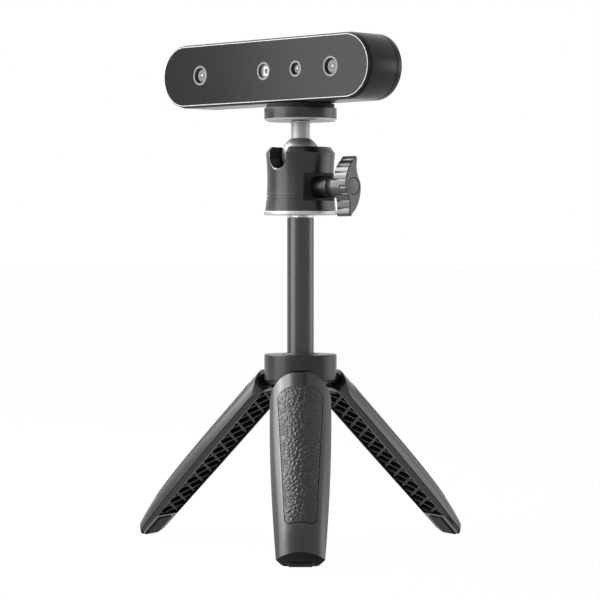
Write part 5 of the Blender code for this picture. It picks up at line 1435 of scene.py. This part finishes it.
@dataclass
class Clamp:
    """The wing knob on its screw, with its cap, washer and seal.

    Pieces are made along Z, as distances from the column's axis.
    """

    workshop: Workshop
    azimuth: float = -45.0 * DEG
    boss_end: float = 21.0 * MM
    seal_radius: float = 5.0 * MM
    seal_thickness: float = 1.6 * MM
    washer_radius: float = 5.3 * MM
    washer_thickness: float = 0.7 * MM
    hub_radius: float = 5.2 * MM
    face: float = 34.2 * MM
    wing_thickness: float = 8.6 * MM
    wing_length: float = 27.6 * MM
    wing_width: float = 10.2 * MM
    face_edge: float = 0.45 * MM
    flute_pitch: float = 3.5 * MM
    flute_depth: float = 0.35 * MM
    flute_steps: int = 12
    flute_power: float = 0.3
    cap_radius: float = 3.8 * MM
    cap_thickness: float = 2.4 * MM
    cap_fit: float = 0.21 * MM
    cap_sunk: float = 0.15 * MM
    ring_edge: float = 0.25 * MM
    screw_radius: float = 2.0 * MM
    curve_steps: int = 24
    side_normal: float = 0.3
    outline_shares: tuple[Flat, ...] = (
        (1.0, 0.02), (0.93, 0.14), (0.70, 0.30), (0.52, 0.50), (0.46, 0.70), (0.53, 0.92),
        (0.30, 1.00), (-0.03, 0.88), (-0.48, 0.70), (-0.80, 0.46), (-0.98, 0.20),
    )

    def outline(self) -> list[Vector]:
        """The S-shaped outline of both wings, in evenly spaced points."""
        half = [(x * self.wing_width / 2, y * self.wing_length / 2) for x, y in self.outline_shares]
        points = half + [(-x, -y) for x, y in half]
        count = len(points)
        curve = []
        for index in range(count):
            near = (points[(index + step) % count] for step in (-1, 0, 1, 2))
            before, here, after, beyond = (Vector(point) for point in near)
            for step in range(self.curve_steps):
                t = step / self.curve_steps
                value = 2 * here + (after - before) * t
                value += (2 * before - 5 * here + 4 * after - beyond) * t ** 2
                value += (3 * here - before - 3 * after + beyond) * t ** 3
                curve.append(value / 2)
        lengths = [0.0]
        for one, two in zip(curve, curve[1:] + curve[:1]):
            lengths.append(lengths[-1] + (two - one).length)
        flutes = round(lengths[-1] / self.flute_pitch)
        total = flutes * self.flute_steps
        even, place = [], 0
        for index in range(total):
            wanted = lengths[-1] * index / total
            while lengths[place + 1] < wanted:
                place += 1
            share = (wanted - lengths[place]) / (lengths[place + 1] - lengths[place])
            even.append(curve[place].lerp(curve[(place + 1) % len(curve)], share))
        return even

    def wing_ring(self, outline: list[Vector], inset: float, depth: float, fluted: float) -> Ring:
        """The outline drawn in by an inset, with grip flutes round it.

        Args:
            outline: Evenly spaced points.
            inset: How far it is drawn in.
            depth: Distance of the ring from the column's axis.
            fluted: Share of the flutes' full depth.

        Returns:
            The ring's points.
        """
        ring = []
        count = len(outline)
        for index, point in enumerate(outline):
            along = (outline[(index + 1) % count] - outline[index - 1]).normalized()
            wave = abs(math.sin(math.pi * index / self.flute_steps)) ** self.flute_power
            inward = Vector((-along.y, along.x)) * (inset + self.flute_depth * fluted * (1 - wave))
            ring.append((-(point.y + inward.y), point.x + inward.x, depth))
        return ring

    def knob(self) -> Piece:
        """The wing knob, with its hub and the seat of its cap."""
        outline = self.outline()
        back = self.face - self.wing_thickness
        places = (
            (back, self.face_edge, 0.0), (back + self.face_edge, 0.0, 1.0),
            (self.face - self.face_edge, 0.0, 1.0), (self.face, self.face_edge, 0.0),
        )
        rings = [self.wing_ring(outline, inset, depth, share) for depth, inset, share in places]
        knob = loft("wing_knob_look", rings)
        start = self.boss_end + self.seal_thickness + self.washer_thickness + 3 * GAP
        join(knob, cylinder("hub_boss", self.hub_radius, start, self.face - self.wing_thickness / 2))
        floor = self.face - self.cap_thickness - 2 * GAP
        cut(knob, cylinder("cap_seat", self.cap_radius + self.cap_fit, floor, self.face + OVERRUN))
        return cut(knob, cylinder("bore", self.screw_radius + GAP, start - OVERRUN, self.face, Steps.SMALL))

    def on_side(self, face: bpy.types.MeshPolygon) -> bool:
        """Tells if a face is on the ribbed side of the wings."""
        upright = abs(face.normal.z) < self.side_normal
        return upright and face.center.z > self.face - self.wing_thickness

    def build(self) -> None:
        """Builds the clamp's pieces on the knob's axis."""
        turn = around(self.azimuth) @ Matrix.Rotation(math.pi / 2, 4, "Y")
        axis = self.workshop.joint_place("knob_turn")
        place = self.workshop.on_column(axis.z) @ turn
        dress = self.workshop.dress
        knob = dress(self.knob(), "knob", KNOB_BLACK, ("wing_knob",), place, 0.0, 38.0)
        add_material(knob, self.workshop.material(KNOB_SIDE), self.on_side)
        top = self.face - self.cap_sunk
        back = self.face - self.cap_thickness - GAP
        profile = [(0, back), (self.cap_radius, back), (self.cap_radius, top), (0, top)]
        cap = revolve("knob_cap_look", round_corners(profile, {2: self.ring_edge}))
        dress(cap, "knob", KNOB_BLACK, ("knob_cap",), place)

        bore = self.screw_radius + GAP
        start = self.boss_end + GAP
        for name, radius, length, finish in (
            ("knob_seal", self.seal_radius, self.seal_thickness, RUBBER),
            ("knob_washer", self.washer_radius, self.washer_thickness, KNOB_BLACK),
        ):
            profile = [(bore, start), (radius, start), (radius, start + length), (bore, start + length)]
            rounded = round_corners(profile, {1: self.ring_edge, 2: self.ring_edge})
            dress(revolve(f"{name}_look", rounded, Steps.MEDIUM), "knob", finish, (name,), place)
            start += length + GAP
        self.workshop.carry_over(STEEL, "clamp_screw")
        self.workshop.carry_over(BRASS, "clamp_tip")


@dataclass
class TopPlate:
    """The round plate and rubber pad that the scanner stands on, with heights from the plate's bottom."""

    workshop: Workshop
    radius: float = 16.85 * MM
    thickness: float = 6.3 * MM
    chamfer: float = 1.0 * MM
    top_edge: float = 0.4 * MM
    pad_radius: float = 15.8 * MM
    pad_sunk: float = 0.6 * MM
    pad_hole: float = 6.3 * MM
    stud_radius: float = 3.0 * MM
    edge: float = 0.2 * MM
    pad_edge: float = 0.3 * MM
    bevel_normals: tuple[float, float] = (-0.9, -0.3)

    def on_bevel(self, face: bpy.types.MeshPolygon) -> bool:
        """Tells if a face is the bright bevel under the plate."""
        least, most = self.bevel_normals
        return least < face.normal.z < most

    def build(self) -> None:
        """Builds the plate and its pad."""
        dress = self.workshop.dress
        place = self.workshop.on_column(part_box("top_plate")[0][2])
        hole, top = self.stud_radius + GAP, self.thickness
        pad_bottom = top - self.pad_sunk
        seat = pad_bottom - GAP
        rim = self.pad_radius + GAP
        profile = [(self.radius - self.chamfer, 0), (self.radius, self.chamfer)]
        profile += [(self.radius, top - self.top_edge), (rim, top), (rim, seat), (hole, seat), (hole, 0)]
        rounded = round_corners(profile, {index: self.edge for index in range(4)}, 3)
        plate = revolve("top_plate_look", rounded)
        dress(plate, "scanner", HEAD_BLACK, ("top_plate",), place)
        add_material(plate, self.workshop.material(CUT_EDGE), self.on_bevel)

        pad_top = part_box("scanner_housing")[0][2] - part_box("top_plate")[0][2] - GAP
        profile = [(self.pad_radius, pad_bottom), (self.pad_radius, pad_top)]
        profile += [(self.pad_hole, pad_top), (self.pad_hole, pad_bottom)]
        pad = revolve("rubber_pad_look", round_corners(profile, {1: self.pad_edge}))
        dress(pad, "scanner", RUBBER, ("rubber_pad",), place)
        self.workshop.carry_over(STEEL, "mount_screw", "mount_insert")


@dataclass(frozen=True)
class Aperture:
    """One window in the scanner's front, and what shows inside it."""

    name: str
    x: float
    ring_radius: float
    holder_radius: float
    lens_radius: float
    node: str
    lens_node: str


@dataclass(frozen=True)
class ProjectorFace:
    """Sizes of the pattern projector's face, with depths from the front of its well."""

    side: float = 4.6 * MM
    shift: float = 0.9 * MM
    carrier_margin: float = 0.35 * MM
    carrier_depth: float = 0.8 * MM
    carrier_edge: float = 0.08 * MM
    pane_share: float = 0.8
    pane_radius: float = 0.3 * MM
    pane_depths: tuple[float, float] = (-0.35 * MM, 0.2 * MM)
    mark_shares: tuple[float, float] = (0.7, 0.9)
    mark_radius: float = 0.15 * MM
    mark_depths: tuple[float, float] = (-0.42 * MM, -0.2 * MM)
    mark_edge: float = 0.04 * MM


@dataclass
class Scanner:
    """The bar-shaped scanner.

    X runs along the body, Y back from the bezel's front and Z up from the body's middle.
    """

    workshop: Workshop
    length: float = 137.7 * MM
    height: float = 30.3 * MM
    depth: float = 22.6 * MM
    yaw: float = -45.0 * DEG
    offset: float = 14.3 * MM
    wall: float = 1.8 * MM
    edge: float = 0.5 * MM
    seam: float = 0.25 * MM
    bezel_inset: float = 0.5 * MM
    bezel_width: float = 0.8 * MM
    bezel_depth: float = 1.8 * MM
    bezel_chamfer: float = 0.45 * MM
    window_recess: float = 0.12 * MM
    flange_thickness: float = 1.2 * MM
    flange_width: float = 3.6 * MM
    cover_depth: float = 3.7 * MM
    cover_fillet: float = 1.8 * MM
    plug_inset: float = 3.4 * MM
    plug_length: float = 1.8 * MM
    ring_width: float = 0.9 * MM
    holder_shift: float = 0.75 * MM
    # How far the painted lens highlight sits beside the holder's middle
    spark_shift: float = 0.35 * MM
    ring_front: float = 0.15 * MM
    barrel_front: float = 1.5 * MM
    barrel_back: float = 9.8 * MM
    rim_back: float = 2.6 * MM
    front_shift: float = 1.0 * MM
    lens_seat: float = 0.5 * MM
    lens_dome: float = 0.2 * MM
    lens_share: float = 0.96
    lens_sunk: float = 0.3 * MM
    dome_share: float = 0.6
    holder_front: float = 0.85 * MM
    holder_dish: float = 0.15 * MM
    # Size and place of the near-white disc that paints each lens's highlight
    spark_share: float = 0.5
    spark_proud: float = 0.45 * MM
    spark_height: float = 0.6 * MM
    spark_bevel: float = 0.1 * MM
    spark_point: float = 0.05 * MM
    spark_face: float = 0.6
    rim_edge: float = 0.08 * MM
    rim_depth: float = 0.2 * MM
    glass_edge: float = 0.06 * MM
    front_normal: float = -0.9
    projector: ProjectorFace = ProjectorFace()
    insert_radius: float = 3.9 * MM
    port_x: float = -36.85 * MM
    port_z: float = 1.7 * MM
    port_width: float = 8.9 * MM
    port_height: float = 3.2 * MM
    port_wall: float = 0.5 * MM
    port_front: float = 11.4 * MM
    port_recess: float = 0.5 * MM
    port_socket: float = 5.0 * MM
    port_tongue: float = 0.7 * MM
    screw_x: float = 60.85 * MM
    screw_head: float = 1.9 * MM
    screw_head_depth: float = 1.2 * MM
    screw_radius: float = 1.0 * MM
    screw_length: float = 10.0 * MM
    apertures: tuple[Aperture, ...] = (
        Aperture("ir_left", -42.4 * MM, 4.65 * MM, 2.9 * MM, 1.0 * MM, "ir_camera_left", "ir_lens_left"),
        Aperture("ir_right", 44.4 * MM, 4.65 * MM, 3.05 * MM, 1.0 * MM, "ir_camera_right", "ir_lens_right"),
        Aperture("colour", 22.0 * MM, 3.75 * MM, 1.9 * MM, 0.95 * MM, "colour_camera", "colour_lens"),
        Aperture("projector", 1.0 * MM, 4.2 * MM, 3.2 * MM, 0.0, "pattern_projector", "projector_window"),
    )

    def outline(self, inset: float = 0.0) -> Outline:
        """The body's outline in X and Z."""
        return stadium(self.length, self.height, inset)

    @staticmethod
    def plate_at(name: str, outline: Outline, front: float, back: float) -> Piece:
        """An outline in X and Z, extruded back along Y."""
        return loft(name, [[(x, y, z) for x, z in outline] for y in (front, back)])

    def layers(self, name: str, places: Sequence[Flat]) -> Piece:
        """A solid from the body's outline at several depths.

        Args:
            name: Name of the new object.
            places: Depth and inset of each section.

        Returns:
            The solid.
        """
        return loft(name, [[(x, y, z) for x, z in self.outline(inset)] for y, inset in places])

    @staticmethod
    def on_axis(piece: Piece, x: float, z: float = 0.0) -> Piece:
        """Turns a piece made along Z to point back along Y at one place on the front."""
        return move(piece, Matrix.Translation((x, 0, z)) @ Matrix.Rotation(-math.pi / 2, 4, "X"))

    def place(self) -> Matrix:
        """Where the scanner's own axes lie in the frame."""
        low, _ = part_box("scanner_housing")
        turn = around(self.yaw)
        shift = turn @ Vector((-self.offset, -self.depth / 2, 0))
        return self.workshop.on_column(low[2] + self.height / 2) @ Matrix.Translation(shift) @ turn

    def housing(self) -> Piece:
        """The sleeve, hollow behind its front flange."""
        front, back = self.bezel_depth + GAP, self.depth - self.cover_depth - GAP
        rounded = [
            (front + self.edge * (1 - math.cos(a * DEG)), self.edge * (1 - math.sin(a * DEG)))
            for a in (0, 30, 60, 90)
        ]
        places = rounded + [(back - self.seam, 0.0), (back, self.seam)]
        sleeve = self.layers("scanner_housing_look", places)
        inner_front = front + self.flange_thickness
        cut(sleeve, self.plate_at("inner", self.outline(self.wall), inner_front, back + OVERRUN))
        cut(sleeve, self.plate_at("opening", self.outline(self.flange_width), 0, back + OVERRUN))
        hole = cylinder("hole", self.insert_radius + GAP, -self.height, 0)
        return cut(sleeve, move(hole, Matrix.Translation((self.offset, self.depth / 2, 0))))

    def bezel(self) -> Piece:
        """The frame round the window, with a dark edge round its bright front face."""
        chamfer, inset = self.bezel_chamfer, self.bezel_inset
        places = [(self.bezel_depth, inset), (chamfer, inset), (0.0, inset + chamfer)]
        ring = self.layers("front_bezel_look", places)
        inner = self.outline(inset + self.bezel_width)
        return cut(ring, self.plate_at("opening", inner, -OVERRUN, self.depth))

    def window(self) -> Piece:
        """The tinted front plate with its four apertures."""
        outline = self.outline(self.bezel_inset + self.bezel_width + GAP / 2)
        window = self.plate_at("front_window_look", outline, self.window_recess, self.bezel_depth)
        for aperture in self.apertures:
            hole = cylinder("hole", aperture.ring_radius + GAP / 3, -OVERRUN, self.depth)
            cut(window, self.on_axis(hole, aperture.x))
        return window

    def barrel(self, aperture: Aperture) -> Piece:
        """A camera module or the projector: grey rim, dark well and rear tube."""
        rim, front, back = aperture.ring_radius, self.barrel_front, self.rim_back
        inner = rim - self.ring_width
        seat = front + self.lens_seat
        profile = [(0, seat + self.lens_seat), (inner - GAP, seat + self.lens_seat), (inner, seat)]
        profile += [(inner, self.ring_front), (rim, self.ring_front), (rim, back), (0, back)]
        rounded = round_corners(profile, {3: self.rim_edge, 4: self.rim_edge}, 2)
        barrel = self.on_axis(revolve(f"{aperture.node}_look", rounded), aperture.x)
        tube = cylinder("tube", rim - GAP, back - GAP, self.barrel_back)
        return join(barrel, self.on_axis(tube, aperture.x - self.front_shift))

    def holder(self, aperture: Aperture) -> Piece:
        """The grey disc that holds a lens in its well."""
        outer, lens, front = aperture.holder_radius, aperture.lens_radius, self.holder_front
        back, dish = self.barrel_front + 2 * self.lens_seat, self.holder_dish
        floor = front + 2 * dish
        profile = [(0, back), (outer, back), (outer, front + dish), (outer - dish, front)]
        profile += [(lens + dish, front), (lens, front + dish), (lens, floor), (0, floor)]
        holder = revolve(f"{aperture.name}_holder", profile)
        return self.on_axis(holder, aperture.x + self.holder_shift)

    def spark(self, aperture: Aperture) -> Piece:
        """A small near-white disc in the middle of a lens, which paints the lens's highlight."""
        radius, front = aperture.lens_radius * self.spark_share, self.holder_front - self.spark_proud
        back = front + self.spark_height
        profile = [(0, back), (radius, back), (radius, front + self.spark_bevel)]
        profile += [(radius * self.spark_face, front), (0, front - self.spark_point)]
        spark = revolve(f"{aperture.name}_spark", profile, Steps.SMALL)
        return self.on_axis(spark, aperture.x + self.holder_shift + self.spark_shift)

    def lens(self, aperture: Aperture) -> Piece:
        """A small domed lens in its holder."""
        radius, back = aperture.lens_radius * self.lens_share, self.holder_front + self.lens_sunk
        rise = self.lens_dome * self.dome_share
        dome = [
            (radius * math.cos(a * DEG), back - self.lens_dome - rise * math.sin(a * DEG))
            for a in (0, 15, 30, 45, 60, 75)
        ]
        top = back - (1 + self.dome_share) * self.lens_dome
        profile = [(0, back), (radius, back)] + dome + [(0, top)]
        lens = revolve(f"{aperture.lens_node}_look", profile, Steps.MEDIUM)
        return self.on_axis(lens, aperture.x + self.holder_shift)

    def cover(self) -> Piece:
        """The rear plate with its rounded edge, port opening and screw seats."""
        front, fillet = self.depth - self.cover_depth, self.cover_fillet
        places = [(front, self.seam), (front + self.seam, 0.0)]
        for angle in spread(0, math.pi / 2, 9):
            reach = self.depth - fillet + fillet * math.sin(angle)
            places.append((reach, fillet * (1 - math.cos(angle))))
        cover = self.layers("rear_cover_look", places)
        outline = self.outline(self.plug_inset)
        join(cover, self.plate_at("plug", outline, front - self.plug_length, front + self.wall))
        seat = self.depth - self.screw_head_depth - GAP
        for x in (-self.screw_x, self.screw_x):
            recess = cylinder("seat", self.screw_head + GAP, seat, self.depth + OVERRUN, Steps.MEDIUM)
            hole = cylinder("hole", self.screw_radius + GAP, 0, self.depth, Steps.SMALL)
            cut(cover, self.on_axis(recess, x), self.on_axis(hole, x))
        port = self.port_outline(self.port_width + 2 * GAP, self.port_height + 2 * GAP)
        return cut(cover, self.plate_at("port", port, 0, self.depth + OVERRUN))

    def port_outline(self, width: float, height: float, inset: float = 0.0) -> Outline:
        """A slot-shaped outline at the cable inlet."""
        outline = stadium(width, height, inset, 16)
        return [(x + self.port_x, z + self.port_z) for x, z in outline]

    def port(self) -> Piece:
        """The cable inlet: a slot-shaped metal shell round its contact tongue."""
        back = self.depth - self.port_recess
        floor = back - self.port_socket
        outer = self.port_outline(self.port_width, self.port_height)
        inner = self.port_outline(self.port_width, self.port_height, self.port_wall)
        port = self.plate_at("usb_port_look", outer, self.port_front, back)
        cut(port, self.plate_at("socket", inner, floor, back + OVERRUN))
        half, thick = self.port_width / 2 - 2 * self.port_wall, self.port_tongue / 2
        low = (self.port_x - half, floor - self.port_wall, self.port_z - thick)
        high = (self.port_x + half, back - self.port_wall, self.port_z + thick)
        return join(port, box("tongue", low, high))

    def build(self) -> None:
        """Builds the scanner's pieces in its own axes."""
        dress, place = self.workshop.dress, self.place()
        dress(self.housing(), "scanner", SCANNER_SHELL, ("scanner_housing",), place)
        bezel = dress(self.bezel(), "scanner", RUBBER, ("front_bezel",), place, slot="bright_edge")
        bright = self.workshop.material(BRIGHT_EDGE)
        add_material(bezel, bright, lambda face: face.normal.y < self.front_normal)
        dress(self.window(), "scanner", WINDOW, ("front_window",), place, self.glass_edge)
        dress(self.cover(), "scanner", SCANNER_SHELL, ("rear_cover",), place)
        dress(self.port(), "scanner", STEEL, ("usb_port",), place)
        for aperture in self.apertures:
            well = self.ring_front + self.rim_depth
            barrel = self.barrel(aperture)
            dress(barrel, "scanner", LENS_SEAT, (aperture.node,), place, slot="module_black")
            add_material(barrel, self.workshop.material(RING_GREY), lambda face: face.center.y < well)
            if aperture.lens_radius:
                dress(self.holder(aperture), "scanner", RING_DARK, (), place, slot="module_black")
                # A near-white disc on each lens paints its highlight
                dress(self.spark(aperture), "scanner", LENS_PAINTED_GLINT, (), place, slot="lens_glass")
                dress(self.lens(aperture), "scanner", LENS_GLASS, (aperture.lens_node,), place)
        self.build_projector(place)
        for side, x in (("left", -self.screw_x), ("right", self.screw_x)):
            screw = socket_screw(
                f"cover_screw_{side}_look", self.screw_head, self.screw_head_depth, self.screw_radius,
                self.screw_length, self.screw_head / 2, self.screw_head_depth / 2,
            )
            turn = Matrix.Rotation(math.pi, 4, "X")
            move(screw, Matrix.Translation((0, 0, self.depth - GAP)) @ turn)
            dress(self.on_axis(screw, x), "scanner", STEEL, (f"cover_screw_{side}",), place)
        self.workshop.carry_over(RUBBER, "rear_gasket")
        self.workshop.carry_over(BENCH_METAL, "optical_bench", "heat_spreader")
        self.workshop.carry_over(BOARD_GREEN, "main_board")
        self.workshop.carry_over(PAD_GREY, "thermal_pad")
        self.workshop.carry_over(STEEL, "bench_screw_left", "bench_screw_right")

    def build_projector(self, place: Matrix) -> None:
        """The pattern projector's face: a grey carrier, a bright window and a dark mark on it.

        Args:
            place: Where the scanner's own axes lie in the frame.
        """
        dress, face, front = self.workshop.dress, self.projector, self.barrel_front
        aperture = next(found for found in self.apertures if not found.lens_radius)
        radius = aperture.holder_radius + face.carrier_margin
        carrier = cylinder("projector_carrier", radius, front, front + face.carrier_depth)
        self.on_axis(carrier, aperture.x)
        dress(carrier, "scanner", RING_GREY, (), place, face.carrier_edge, slot="module_black")
        half, shift = face.side / 2, aperture.x + face.shift
        width, height = face.mark_shares
        pane = rounded_rectangle(2 * half * face.pane_share, 2 * half, face.pane_radius)
        mark = rounded_rectangle(half * width, half * height, face.mark_radius)
        for name, outline, depths, finish, nodes, edge, slot in (
            (
                "projector_window_look", pane, face.pane_depths, PROJECTOR_GLASS, ("projector_window",),
                self.glass_edge, None,
            ),
            ("projector_emitter", mark, face.mark_depths, LENS_SEAT, (), face.mark_edge, "module_black"),
        ):
            shifted = [(x + shift, z) for x, z in outline]
            piece = self.plate_at(name, shifted, front + depths[0], front + depths[1])
            dress(piece, "scanner", finish, nodes, place, edge, slot=slot)


# Studio


@dataclass(frozen=True)
class Softbox:
    """One soft lamp, aimed at the object."""

    name: str
    azimuth: float
    height: float
    distance: float
    width: float
    tall: float
    radiance: float
    aim: float = 0.12

    def build(self, axis: Vector) -> None:
        """Makes the lamp.

        Args:
            axis: The column's axis, on the floor.
        """
        lamp = bpy.data.lights.new(self.name, "AREA")
        lamp.shape = "RECTANGLE"
        lamp.size, lamp.size_y = self.width, self.tall
        lamp.energy = self.radiance * math.pi * self.width * self.tall
        made = new_object(self.name, lamp)
        angle = self.azimuth * DEG
        made.location = axis + Vector(
            (-self.distance * math.sin(angle), -self.distance * math.cos(angle), self.height)
        )
        target = axis + Vector((0, 0, self.aim))
        made.rotation_euler = (target - made.location).to_track_quat("-Z", "Y").to_euler()


@dataclass
class Studio:
    """Camera, lamps, floor and the white surroundings."""

    workshop: Workshop
    focal: float = 2431.6
    image_width: float = 600.0
    sensor: float = 36.0
    distance: float = 1130.36 * MM
    sideways: float = -0.23 * MM
    camera_height: float = 138.09 * MM
    pitch: float = 1.2417 * DEG
    floor_size: float = 30.0
    floor_depth: float = 0.01
    floor_shade: float = 0.92
    floor_roughness: float = 0.9
    floor_specular: float = 0.1
    floor_white: float = 0.98
    ambient: float = 0.10
    clip: tuple[float, float] = (0.01, 50.0)
    softboxes: tuple[Softbox, ...] = (
        Softbox("key_left", 69.5, 0.35, 1.0, 0.80, 0.80, 3.9),
        Softbox("key_front", 34.0, 0.45, 1.1, 0.55, 0.60, 0.9),
        Softbox("key_high", 110.0, 1.0, 0.78, 0.84, 0.72, 7.6),
        Softbox("key_back", 114.0, 0.65, 1.0, 0.78, 0.44, 4.6),
        Softbox("rim_right", -101.0, 0.24, 1.0, 0.70, 0.42, 1.75),
    )

    def camera(self) -> None:
        """The camera at the photograph's place, without shift or depth of field."""
        data = bpy.data.cameras.new("camera")
        data.sensor_width = self.sensor
        data.lens = self.focal * self.sensor / self.image_width
        data.clip_start, data.clip_end = self.clip
        made = new_object("camera", data)
        made.location = self.workshop.axis + Vector((self.sideways, -self.distance, self.camera_height))
        made.rotation_euler = (math.pi / 2 - self.pitch, 0, 0)
        bpy.context.scene.camera = made

    @staticmethod
    def background_rays(tree: bpy.types.NodeTree) -> bpy.types.NodeSocket:
        """Tells camera, glossy and transmission rays, which see the white background, from the rest.

        Args:
            tree: The node tree that it is built in.

        Returns:
            A socket that is 1 for those rays.
        """
        path = tree.nodes.new("ShaderNodeLightPath")
        found = path.outputs["Is Camera Ray"]
        for name in ("Is Glossy Ray", "Is Transmission Ray"):
            either = tree.nodes.new("ShaderNodeMath")
            either.operation = "MAXIMUM"
            tree.links.new(found, either.inputs[0])
            tree.links.new(path.outputs[name], either.inputs[1])
            found = either.outputs[0]
        return found

    @staticmethod
    def blend(tree: bpy.types.NodeTree, *mixed: bpy.types.NodeSocket) -> bpy.types.NodeSocket:
        """Mixes two shaders: the sockets are the share, the shader at 0 and the shader at 1."""
        mix = tree.nodes.new("ShaderNodeMixShader")
        for source, target in zip(mixed, mix.inputs):
            tree.links.new(source, target)
        return mix.outputs[0]

    def world(self) -> None:
        """Surroundings that are white to the background's rays and dim to the rest."""
        world = bpy.data.worlds.new("surroundings")
        bpy.context.scene.world = world
        world.use_nodes = True
        tree = world.node_tree
        tree.nodes.clear()
        plain, white = (tree.nodes.new("ShaderNodeBackground") for _ in range(2))
        set_inputs(plain, {"Color": WHITE, "Strength": self.ambient})
        set_inputs(white, {"Color": WHITE, "Strength": 1.0})
        mixed = self.blend(tree, self.background_rays(tree), plain.outputs[0], white.outputs[0])
        out = tree.nodes.new("ShaderNodeOutputWorld")
        tree.links.new(mixed, out.inputs["Surface"])

    def floor(self) -> None:
        """A pale floor that is near white to the background's rays and keeps a faint shadow."""
        half = self.floor_size / 2
        floor = box("floor", (-half, -half, -self.floor_depth), (half, half, 0.0))
        material = bpy.data.materials.new("floor")
        material.use_nodes = True
        tree = material.node_tree
        shader = tree.nodes["Principled BSDF"]
        shade = self.floor_shade
        set_inputs(shader, {
            "Base Color": (shade, shade, shade, 1.0), "Roughness": self.floor_roughness,
            "Specular IOR Level": self.floor_specular,
        })
        share = tree.nodes.new("ShaderNodeMath")
        share.operation = "MULTIPLY"
        set_inputs(share, {1: self.floor_white})
        tree.links.new(self.background_rays(tree), share.inputs[0])
        white = tree.nodes.new("ShaderNodeEmission")
        set_inputs(white, {"Color": WHITE, "Strength": 1.0})
        mixed = self.blend(tree, share.outputs[0], shader.outputs[0], white.outputs[0])
        tree.links.new(mixed, tree.nodes["Material Output"].inputs["Surface"])
        floor.data.materials.append(material)

    def build(self) -> None:
        """Builds the whole studio."""
        self.camera()
        self.world()
        self.floor()
        for softbox in self.softboxes:
            softbox.build(self.workshop.axis)
        bpy.context.scene.view_settings.view_transform = "Standard"


def main() -> None:
    """Loads the frame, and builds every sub-assembly and the studio."""
    logging.basicConfig(level=logging.INFO, format="%(name)s: %(message)s")
    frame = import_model()
    workshop = Workshop(frame)
    Studio(workshop).build()
    for part in (Scanner, TopPlate, BallHead, Clamp, Column, Hub, Legs):
        part(workshop).build()
        LOG.info("%s is built", part.__name__)


if __name__ == "__main__":
    main()
